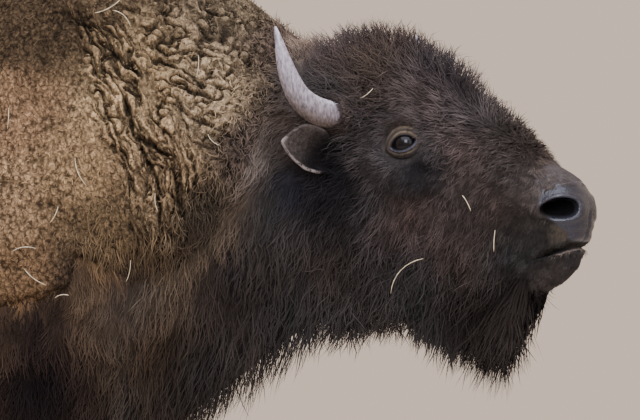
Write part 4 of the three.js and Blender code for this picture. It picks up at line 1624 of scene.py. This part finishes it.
def creased(q):
    """1 in the deepest creases."""
    x, _, z = q.T
    found = np.zeros(len(q))
    for x0, z0, x1, z1 in CREASES:
        dx, dz = x1 - x0, z1 - z0
        t = np.clip(((x - x0) * dx + (z - z0) * dz) / (dx * dx + dz * dz), 0, 1)
        away = np.hypot(x - x0 - t * dx, z - z0 - t * dz)
        found = np.maximum(found, hump_at(away, 9 - 4 * np.abs(2 * t - 1)))
    return found


def coat_tone(q):
    """The colour of the hair itself. Deep coats are darkened by their own shadows, so are lighter."""
    length = guided(q)[1]
    flat_coat = np.interp(q[:, 0], [-300, -100], [0.66, 1.0])
    warm = 1 + np.outer(np.clip(drift(q, 75, 34), -1, 1), WARMTH)
    shade = np.interp(length, [6, 34], [1.5, DEPTH_OF_COAT]) * flat_coat
    return marked_in_parts(q) * shade[:, None] * warm


def mat_relief(q, settings):
    """How the felt rises and falls, how dark it is in the cracks, and where it is plain felt.

    Folds, pockets and cracks are the winding lines where a noise crosses zero.
    """
    wrinkles, curls = wrinkled(q), curled(q)
    wrinkles = wrinkles * (1 - 0.75 * curls)
    wander = q + drift_vector(q, 37) * 12 + drift_vector(q, 13) * 4
    sheared = np.stack([along_fold(wander), wander[:, 1] * 0.5, wander[:, 2] * 0.3], 1)
    fold = hump_at(drift(sheared, 6.8, 16), 0.33)
    fold = np.maximum(fold, 0.9 * hump_at(drift(sheared + 40, 13, 18), 0.24))
    fold_depth = 0.5 + 0.5 * ramp(drift(sheared, 15, 17), -0.45, 0.2)
    slanted = np.stack([wander[:, 0] * 0.62 - wander[:, 2] * 0.22, wander[:, 1] * 0.8,
                        wander[:, 2] + wander[:, 0] * 0.34], 1)
    pocket = hump_at(drift(slanted * (0.8, 1, 1.15), 12, 20), 0.36)
    pocket = np.maximum(pocket, 0.6 * hump_at(drift(slanted * (0.9, 1, 1.3) + 70, 15, 19), 0.26))
    pocket_depth = 0.6 + 0.4 * ramp(drift(slanted, 20, 22), -0.45, 0.2)
    _, near, far = clumps(wander, 7.0, 26)
    nub, nub_gap = np.sqrt(np.clip(1.15 - near**2, 0, 1)), 1 - ramp(far - near, 0.0, 0.4)
    crack = hump_at(drift(q + drift_vector(q, 14) * 6, 24, 27), 0.16)
    crack *= ramp(drift(q, 70, 31), -0.3, 0.4)
    crease = creased(q + drift_vector(q, 22) * 7)
    height = -3.0 * crack * (1 - curls) - settings.fold / MM * fold * wrinkles * fold_depth
    height -= settings.crease / MM * crease + settings.curl / MM * pocket * pocket_depth * curls
    nub_depth = settings.nub / MM * (0.45 + 0.55 * wrinkles - 0.2 * curls)
    height += nub_depth * (nub - 1) + 3.5 * drift(q, 60, 21) - 1
    # Painted shade in the cracks, folds, pockets and creases and between the nubs, then the felt's own
    # random mottle.
    shade = 1 - 0.4 * crack * (1 - curls)
    shade *= 1 - 0.95 * fold * wrinkles * fold_depth
    shade *= 1 - 0.94 * pocket * pocket_depth * curls
    shade *= 1 - 0.9 * crease
    shade *= 1 - 0.3 * nub_gap
    shade *= 1 + 0.14 * drift(q, 8, 23) + 0.12 * drift(q, 18, 28) + 0.16 * drift(q, 50, 24)
    felt = 1 - 0.3 * np.maximum(wrinkles, curls)
    return height, shade, felt


def wool_density(q):
    gap = np.interp(q[:, 0], [-400, -80, 60, 200, 420], [12, 7.6, 7.0, 7.0, 5.6])
    return (inside_cape(q) > -6) / gap**2


def fringe_density(q):
    """The soft hair over the lower front edge of the matted wool."""
    inside = inside_cape(q)
    return (1 - ramp(inside, 30, 85)) * ramp(q[:, 0], 84, 125) * (inside > -10) / 4.6**2


def grow_wool(mat, settings, name):
    """Short curly tufts over the matted wool, and soft hair over its front edge."""
    coat = Coat(f"cape_wool_{name}", 41 + SIDES[name], settings.coat)
    felt = Hide(mat)
    roots, normals = felt.roots(on_side(wool_density, name, settings.coat), coat.random)
    # The tufts take the felt's painted shade in its cracks, folds, pockets and creases.
    shade = np.clip(in_parts(lambda p: mat_relief(p, settings.cape), roots)[1], 0.05, 1.3)
    tone = marked_in_parts(roots) * FELT_DEPTH * shade[:, None] ** 1.3
    matted = np.maximum(wrinkled(roots), curled(roots))
    scale = np.interp(roots[:, 0], [60, 180, 420], [0.46, 0.4, 0.7]) * (1 - 0.5 * matted)
    coat.add(roots, normals, tube_map(roots, *CAPE_TUBE), 2, 1.8, clump=10, gather=0.4,
             length_scale=scale, sink=1.0, tint=lambda r: tone, messy=0.5, shades=(0.8, 1.0, 1.15),
             contrast=0.8)
    roots, normals = felt.roots(on_side(fringe_density, name, settings.coat), coat.random)
    coat.add(roots, normals, tube_map(roots, *CAPE_TUBE), 2, 1.8, clump=20, gather=0.3, sink=4.0,
             length_scale=0.75, tint=lambda r: marked_in_parts(r) * 1.55, messy=0.22)
    return coat.build()


def body_density(q):
    """Short flat hair of the barrel and hindquarters, thin where bump does the rest."""
    x, _, z = q.T
    region = (x < -150) & (z > 470) & (inside_cape(q) < 6)
    region &= ~((x > -330) & (z < 1160))
    gap = np.interp(x, [-1380, -700, -300], [14, 16, 13])
    return np.where(region, 1 / gap**2, 0)


def grow_body(hide, settings, name):
    """Sparse flat tufts that break the smooth form of the barrel and the hindquarters."""
    coat = Coat(f"body_hair_{name}", 51 + SIDES[name], settings)
    evened = 1 if name == "right" else 1 / settings.far_side
    density = on_side(lambda q: body_density(q) * evened, name, settings)
    coat.grow(hide, density, BODY_TUBE, BODY_TUFTS, clump=34, gather=0.25, length_scale=1.15)
    return coat.build()


LEG_HAIR_TOP = 470  # below this the coat is the legs', above it the body's or the mane's


def leg_density(q):
    """The hair of the legs, a little thicker on the chaps of the forelegs."""
    x, _, z = q.T
    gap = np.where((x > HALFWAY_BACK) & (z > 330), 7.8, 9.2)
    return np.where((z > 66) & (z < LEG_HAIR_TOP), 1 / gap**2, 0)


def coronet_density(q):
    """The fringe of hair over the top of the hooves."""
    return ((q[:, 2] > 56) & (q[:, 2] < 100)) / 4.4**2


def grow_legs(hide, settings):
    coat = Coat("leg_hair", 61, settings)
    coat.grow(hide, lambda q: leg_density(q) * settings.thickness, None, LEG_TUFTS, clump=26)
    roots, normals = hide.roots(coronet_density, coat.random)
    laid = (0.0, 0.0, -1.0), 19.0, math.radians(26), guided(roots)[3]
    coat.add(roots, normals, leg_map(roots), 2, 3.2, clump=16, laid=laid)
    return coat.build()


def tail_density(q):
    x, y, z = q.T
    return ((x < -1325) & (z < 1030) & (np.abs(y) < 40)) / 2.9**2


def grow_tail(hide, settings):
    """The long tuft at the end of the tail."""
    coat = Coat("tail_hair", 81, settings)
    roots, normals = hide.roots(tail_density, coat.random)
    reach = np.interp(roots[:, 2], [935, 960, 1030], [1.0, 0.9, 0.23]) * settings.tail_tuft / MM
    below = np.clip(-normals[:, 2], 0, 1)
    laid = (0.05, 0.0, -1.0), reach, np.radians(6 + 66 * below**2), 0.06
    coat.add(roots, normals, leg_map(roots), 4, 2.6, clump=22, gather=0.3, laid=laid, messy=0.06,
             tint=lambda _: np.array(linear("#2a211d")) * 1.6)
    return coat.build()


# Bits of straw caught in the wool: x and z, the way they point, and their length and bend.
STRAWS = [
    (655, 1020, 48, 84, -0.6), (12, 1058, 12, 40, -0.5), (30, 1012, -38, 44, 0.25),
    (72, 984, 15, 24, -0.5), (-20, 1262, 85, 34, 0.2), (96, 1178, -70, 48, 0.3),
    (124, 1440, 24, 52, 0.4), (150, 1425, -35, 44, -0.6), (300, 1344, 78, 40, 0.5),
    (345, 1228, -38, 30, 0.3), (185, 1022, 70, 36, 0.5), (770, 1130, -55, 30, -0.5),
    (808, 1070, 85, 34, 0.2), (60, 1110, 60, 30, 0.4), (-60, 1160, 20, 46, 0.3),
    (-180, 1330, -15, 44, 0.5), (-330, 1280, 40, 40, -0.4), (-120, 1060, 65, 36, 0.4),
    (600, 1300, 30, 28, 0.5), (240, 1130, -80, 30, 0.2),
]


def make_straws(hide, settings):
    """Bent straws as thin tubes on the coat of both sides."""
    form = bmesh.new()
    random = np.random.default_rng(5)
    for x, z, slant, length, bend in STRAWS:
        for side in SIDES.values():
            at_x = x + (0 if side < 0 else random.uniform(-40, 40))
            close = np.hypot(hide.points[:, 0] - at_x, hide.points[:, 2] - z) < 14
            out = (hide.points[close, 1] * side).max()
            depth = groomed(np.array([[at_x, out, z]]))[3][0]
            t = np.linspace(-0.5, 0.5, 9)
            turn = math.radians(slant) + bend * t * 2
            path = np.cumsum(np.stack([np.cos(turn), 0 * t, np.sin(turn)], 1), 0) * (length / 8)
            path += np.array([at_x, side * (out + depth + 1.0), z]) - path.mean(0)
            path[:, 1] += side * 5 * np.cos(np.pi * t) - side * 2
            form_tube(form, path, settings.radius / MM)
    mesh = bpy.data.meshes.new("straw")
    form.to_mesh(mesh)
    form.free()
    straw = new_object("straw", mesh)
    straw.data.materials.append(dappled_material("dry_straw", settings.colour, 7 * MM))
    return straw


def form_tube(form, path, radius, sides=5):
    """Adds a closed tube along a path given in the straight layout."""
    ways = unit(np.gradient(path, axis=0))
    across = unit(np.cross(ways, [0.0, 1.0, 0.0]))
    other = np.cross(across, ways)
    angles = 2 * np.pi * np.arange(sides) / sides
    rings = []
    for k, centre in enumerate(path):
        thin = radius * (0.55 if k in (0, len(path) - 1) else 1.0)
        ring = centre + thin * (np.outer(np.cos(angles), across[k]) + np.outer(np.sin(angles), other[k]))
        rings.append([form.verts.new(place) for place in turned(ring)])
    for low, high in zip(rings, rings[1:]):
        for i in range(sides):
            j = (i + 1) % sides
            form.faces.new((low[i], low[j], high[j], high[i]))
    form.faces.new(rings[0][::-1])
    form.faces.new(rings[-1])


def make_eye(name, settings):
    node = f"eye_{name}"
    middle = turned([EYE * (1, SIDES[name], 1)])[0]
    bpy.ops.object.select_all(action="DESELECT")
    bpy.ops.mesh.primitive_uv_sphere_add(segments=64, ring_count=32, radius=settings.radius)
    eye = bpy.context.object
    eye.name = f"{node}_ball"
    move_to(eye, places_of(eye) + middle)
    ahead, up, _ = eye_plan(layout_of(eye))
    iris = 1 - ramp(np.hypot(ahead, up), 12.5, 15)
    pupil = 1 - ramp(np.hypot(ahead / 7.5, up / 3.8), 0.85, 1.1)
    colour = np.tile(settings.ball_colour, (len(ahead), 1))
    colour = mixed(colour, settings.iris_colour, iris)
    colour = mixed(colour, "#040407", pupil)
    paint(eye, "eye_colour", colour)
    eye.data.materials.append(eye_material())
    finish_piece(eye, "eye", node)


def make_horn(name, settings):
    node = f"horn_{name}"
    horn = copy_of_nodes(f"{node}_sheath", [node])
    give_material(horn, horn_material())
    q = layout_of(horn)
    sunk = (1 - ramp(np.abs(q[:, 1]), 118, 150)) * settings.sunk / MM
    into = unit(np.array([0.18, -0.96 * SIDES[name], -0.2]))
    move_to(horn, turned(q + into * sunk[:, None]))
    apply_modifier(horn, "SUBSURF", levels=3, render_levels=3)
    q = mirrored(layout_of(horn))
    along = np.interp(q[:, 2] + 0.55 * q[:, 1], [1310, 1540], [0, 1])
    facing_up = unit(normals_of(horn))[:, 2]
    colour = np.tile(linear("#8f8488"), (len(q), 1))
    colour = mixed(colour, "#b3abb4", ramp(along, 0.1, 0.7))
    # Painted highlight where the horn faces up. Where it faces down: its own brown, with painted shade.
    colour = mixed(colour, settings.painted_highlight_colour, 0.8 * ramp(facing_up, 0.1, 0.9))
    colour = mixed(colour, settings.under_brown_and_shade, 0.8 * ramp(-facing_up, 0.1, 0.9))
    colour = mixed(colour, "#584d45", 1 - ramp(along, -0.04, 0.16))
    paint(horn, "coat_colour", colour * 0.9)
    finish_piece(horn, "horn", node)
    return horn


def grow_horn_hair(horns, settings):
    """A ragged collar of head hair over the root of each horn."""
    coat = Coat("horn_collar", 91, settings.coat)
    for horn, side in zip(horns, SIDES.values()):
        sheath = Hide(horn)
        roots, normals = sheath.roots(
            lambda q: (np.abs(q[:, 1]) > 90) * (np.abs(q[:, 1]) < 136) / 2.4**2, coat.random
        )
        length = settings.horns.collar / MM * (1 - 0.45 * ramp(np.abs(roots[:, 1]), 110, 136))
        laid = (-0.3, 0.9 * side, -0.12), length, math.radians(20), 0.2
        coat.add(roots, normals, tube_map(roots, *HEAD_TUBE), 2, 1.9, clump=12, laid=laid,
                 tint=lambda _: np.array(linear("#3a322e")) * DEPTH_OF_COAT, messy=0.34)
    return coat.build()


def make_hooves(settings):
    ringed = (0.12, 0.12, 1.0)
    material = dappled_material("hoof_wall", settings.colour, 6 * MM, ringed, contrast=0.5, relief=1 * MM)
    for node in [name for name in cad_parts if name.startswith("hoof")]:
        hoof = copy_of_nodes(f"{node}_wall", [node])
        give_material(hoof, material)
        apply_modifier(hoof, "BEVEL", width=settings.edge, segments=3, limit_method="ANGLE")
        finish_piece(hoof, "hoof", node)


# ---- Operators ----

def finished_skin():
    """The skin, which has to be there already."""
    skin = bpy.data.objects.get("skin")
    if skin is None:
        raise RuntimeError("the skin has to be made before its coat")
    return skin


class BISON_OT_skin(bpy.types.Operator):
    """Makes one skin over all the flesh, with the face shaped and the lids in place"""

    bl_idname = "bison.skin"
    bl_label = "Skin"

    def execute(self, context):
        settings = context.scene.bison
        skin = make_skin(settings)
        q = layout_of(skin)
        paint(skin, "coat_colour", painted_hide(q, settings.skin))
        keep_value(skin, "bare_skin", bare(q) * ramp(nostril_reach(q), 0.8, 1.0))
        give_material(skin, skin_material())
        finish_piece(skin, "cape_wool", *FLESH)
        return {"FINISHED"}


class BISON_OT_head_hair(bpy.types.Operator):
    """Grows the hair of the crown and the cheeks"""

    bl_idname = "bison.head_hair"
    bl_label = "Head hair"

    def execute(self, context):
        settings = context.scene.bison.coat
        hide = Hide(finished_skin())
        for name in SIDES:
            for part in HEAD_COATS:
                finish_piece(grow_head(hide, settings, part, name), "face_hair")
        return {"FINISHED"}


class BISON_OT_beard(bpy.types.Operator):
    """Grows the beard"""

    bl_idname = "bison.beard"
    bl_label = "Beard"

    def execute(self, context):
        hide = Hide(finished_skin())
        finish_piece(grow_beard(hide, context.scene.bison.coat), "beard_hair", "beard")
        return {"FINISHED"}


class BISON_OT_mane(bpy.types.Operator):
    """Grows the long soft hair of the neck, the shoulders and the chest"""

    bl_idname = "bison.mane"
    bl_label = "Mane"

    def execute(self, context):
        hide = Hide(finished_skin())
        for name in SIDES:
            finish_piece(grow_mane(hide, context.scene.bison.coat, name), "mane_wool")
        return {"FINISHED"}


class BISON_OT_cape(bpy.types.Operator):
    """Makes the matted wool of the hump and the neck, with its folds, curls and loose tufts"""

    bl_idname = "bison.cape"
    bl_label = "Cape"

    def execute(self, context):
        settings = context.scene.bison
        skin = finished_skin()
        for name in SIDES:
            mat = make_mat(skin, name, settings.cape)
            finish_piece(grow_wool(mat, settings, name), "cape_wool")
            finish_piece(mat, "cape_wool")
        return {"FINISHED"}


class BISON_OT_body_hair(bpy.types.Operator):
    """Grows the short hair of the barrel and the hindquarters"""

    bl_idname = "bison.body_hair"
    bl_label = "Body hair"

    def execute(self, context):
        hide = Hide(finished_skin())
        for name in SIDES:
            finish_piece(grow_body(hide, context.scene.bison.coat, name), "body_hair")
        return {"FINISHED"}


class BISON_OT_leg_hair(bpy.types.Operator):
    """Grows the hair of the legs, with a fringe over the hooves"""

    bl_idname = "bison.leg_hair"
    bl_label = "Leg hair"

    def execute(self, context):
        hide = Hide(finished_skin())
        finish_piece(grow_legs(hide, context.scene.bison.coat), "leg_hair")
        return {"FINISHED"}


class BISON_OT_tail_hair(bpy.types.Operator):
    """Grows the tuft at the end of the tail"""

    bl_idname = "bison.tail_hair"
    bl_label = "Tail tuft"

    def execute(self, context):
        hide = Hide(finished_skin())
        finish_piece(grow_tail(hide, context.scene.bison.coat), "beard_hair", "tail_tuft")
        return {"FINISHED"}


class BISON_OT_ears(bpy.types.Operator):
    """Makes the cupped ears with the hair in them"""

    bl_idname = "bison.ears"
    bl_label = "Ears"

    def execute(self, context):
        ears = {name: make_ear(name) for name in SIDES}
        finish_piece(grow_ear_hair(list(ears.values()), context.scene.bison.coat), "face_hair")
        for name, ear in ears.items():
            colours = ear_colours(ear)
            paint(ear, "coat_colour", colours)
            keep_value(ear, "bare_skin", np.zeros(len(colours)))
            ear.data.materials.append(skin_material())
            finish_piece(ear, "face_hair", f"ear_{name}")
        return {"FINISHED"}


class BISON_OT_eyes(bpy.types.Operator):
    """Makes the wet dark eyeballs"""

    bl_idname = "bison.eyes"
    bl_label = "Eyes"

    def execute(self, context):
        for name in SIDES:
            make_eye(name, context.scene.bison.eyes)
        return {"FINISHED"}


class BISON_OT_horns(bpy.types.Operator):
    """Makes the horns, with ragged hair over their roots"""

    bl_idname = "bison.horns"
    bl_label = "Horns"

    def execute(self, context):
        settings = context.scene.bison
        horns = [make_horn(name, settings.horns) for name in SIDES]
        finish_piece(grow_horn_hair(horns, settings), "face_hair")
        return {"FINISHED"}


class BISON_OT_hooves(bpy.types.Operator):
    """Makes the walls of the hooves"""

    bl_idname = "bison.hooves"
    bl_label = "Hooves"

    def execute(self, context):
        make_hooves(context.scene.bison.hooves)
        return {"FINISHED"}


class BISON_OT_straws(bpy.types.Operator):
    """Lays bits of dry straw on the coat"""

    bl_idname = "bison.straws"
    bl_label = "Straws"

    def execute(self, context):
        hide = Hide(finished_skin())
        finish_piece(make_straws(hide, context.scene.bison.straws), "cape_wool")
        return {"FINISHED"}


class BISON_OT_stage(bpy.types.Operator):
    """Sets up the floor, the soft studio light and the camera"""

    bl_idname = "bison.stage"
    bl_label = "Stage"

    def execute(self, context):
        make_stage(context.scene.bison.studio)
        return {"FINISHED"}


OPERATORS = (
    BISON_OT_skin,
    BISON_OT_head_hair,
    BISON_OT_beard,
    BISON_OT_mane,
    BISON_OT_cape,
    BISON_OT_body_hair,
    BISON_OT_leg_hair,
    BISON_OT_tail_hair,
    BISON_OT_ears,
    BISON_OT_eyes,
    BISON_OT_horns,
    BISON_OT_hooves,
    BISON_OT_straws,
    BISON_OT_stage,
)


class BISON_PT_build(bpy.types.Panel):
    """Lists what the bison is made of, in the order in which it is made"""

    bl_idname = "BISON_PT_build"
    bl_label = "American bison cow"
    bl_space_type = "VIEW_3D"
    bl_region_type = "UI"
    bl_category = "Bison"

    def draw(self, context):
        for name, pointer in BisonSettings.__annotations__.items():
            box = self.layout.box()
            box.label(text=name.capitalize())
            for setting in pointer.keywords["type"].__annotations__:
                box.prop(getattr(context.scene.bison, name), setting)
        for operator in OPERATORS:
            self.layout.operator(operator.bl_idname)


GROUPS = [pointer.keywords["type"] for pointer in BisonSettings.__annotations__.values()]
CLASSES = (*GROUPS, BisonSettings, *OPERATORS, BISON_PT_build)


def register():
    for kind in CLASSES:
        bpy.utils.register_class(kind)
    bpy.types.Scene.bison = PointerProperty(type=BisonSettings)


def unregister():
    del bpy.types.Scene.bison
    for kind in reversed(CLASSES):
        bpy.utils.unregister_class(kind)


def main():
    register()
    bpy.ops.bison.skin()
    bpy.ops.bison.head_hair()
    bpy.ops.bison.beard()
    bpy.ops.bison.mane()
    bpy.ops.bison.cape()
    bpy.ops.bison.body_hair()
    bpy.ops.bison.leg_hair()
    bpy.ops.bison.tail_hair()
    bpy.ops.bison.ears()
    bpy.ops.bison.eyes()
    bpy.ops.bison.horns()
    bpy.ops.bison.hooves()
    bpy.ops.bison.straws()
    bpy.ops.bison.stage()


if __name__ == "__main__":
    main()
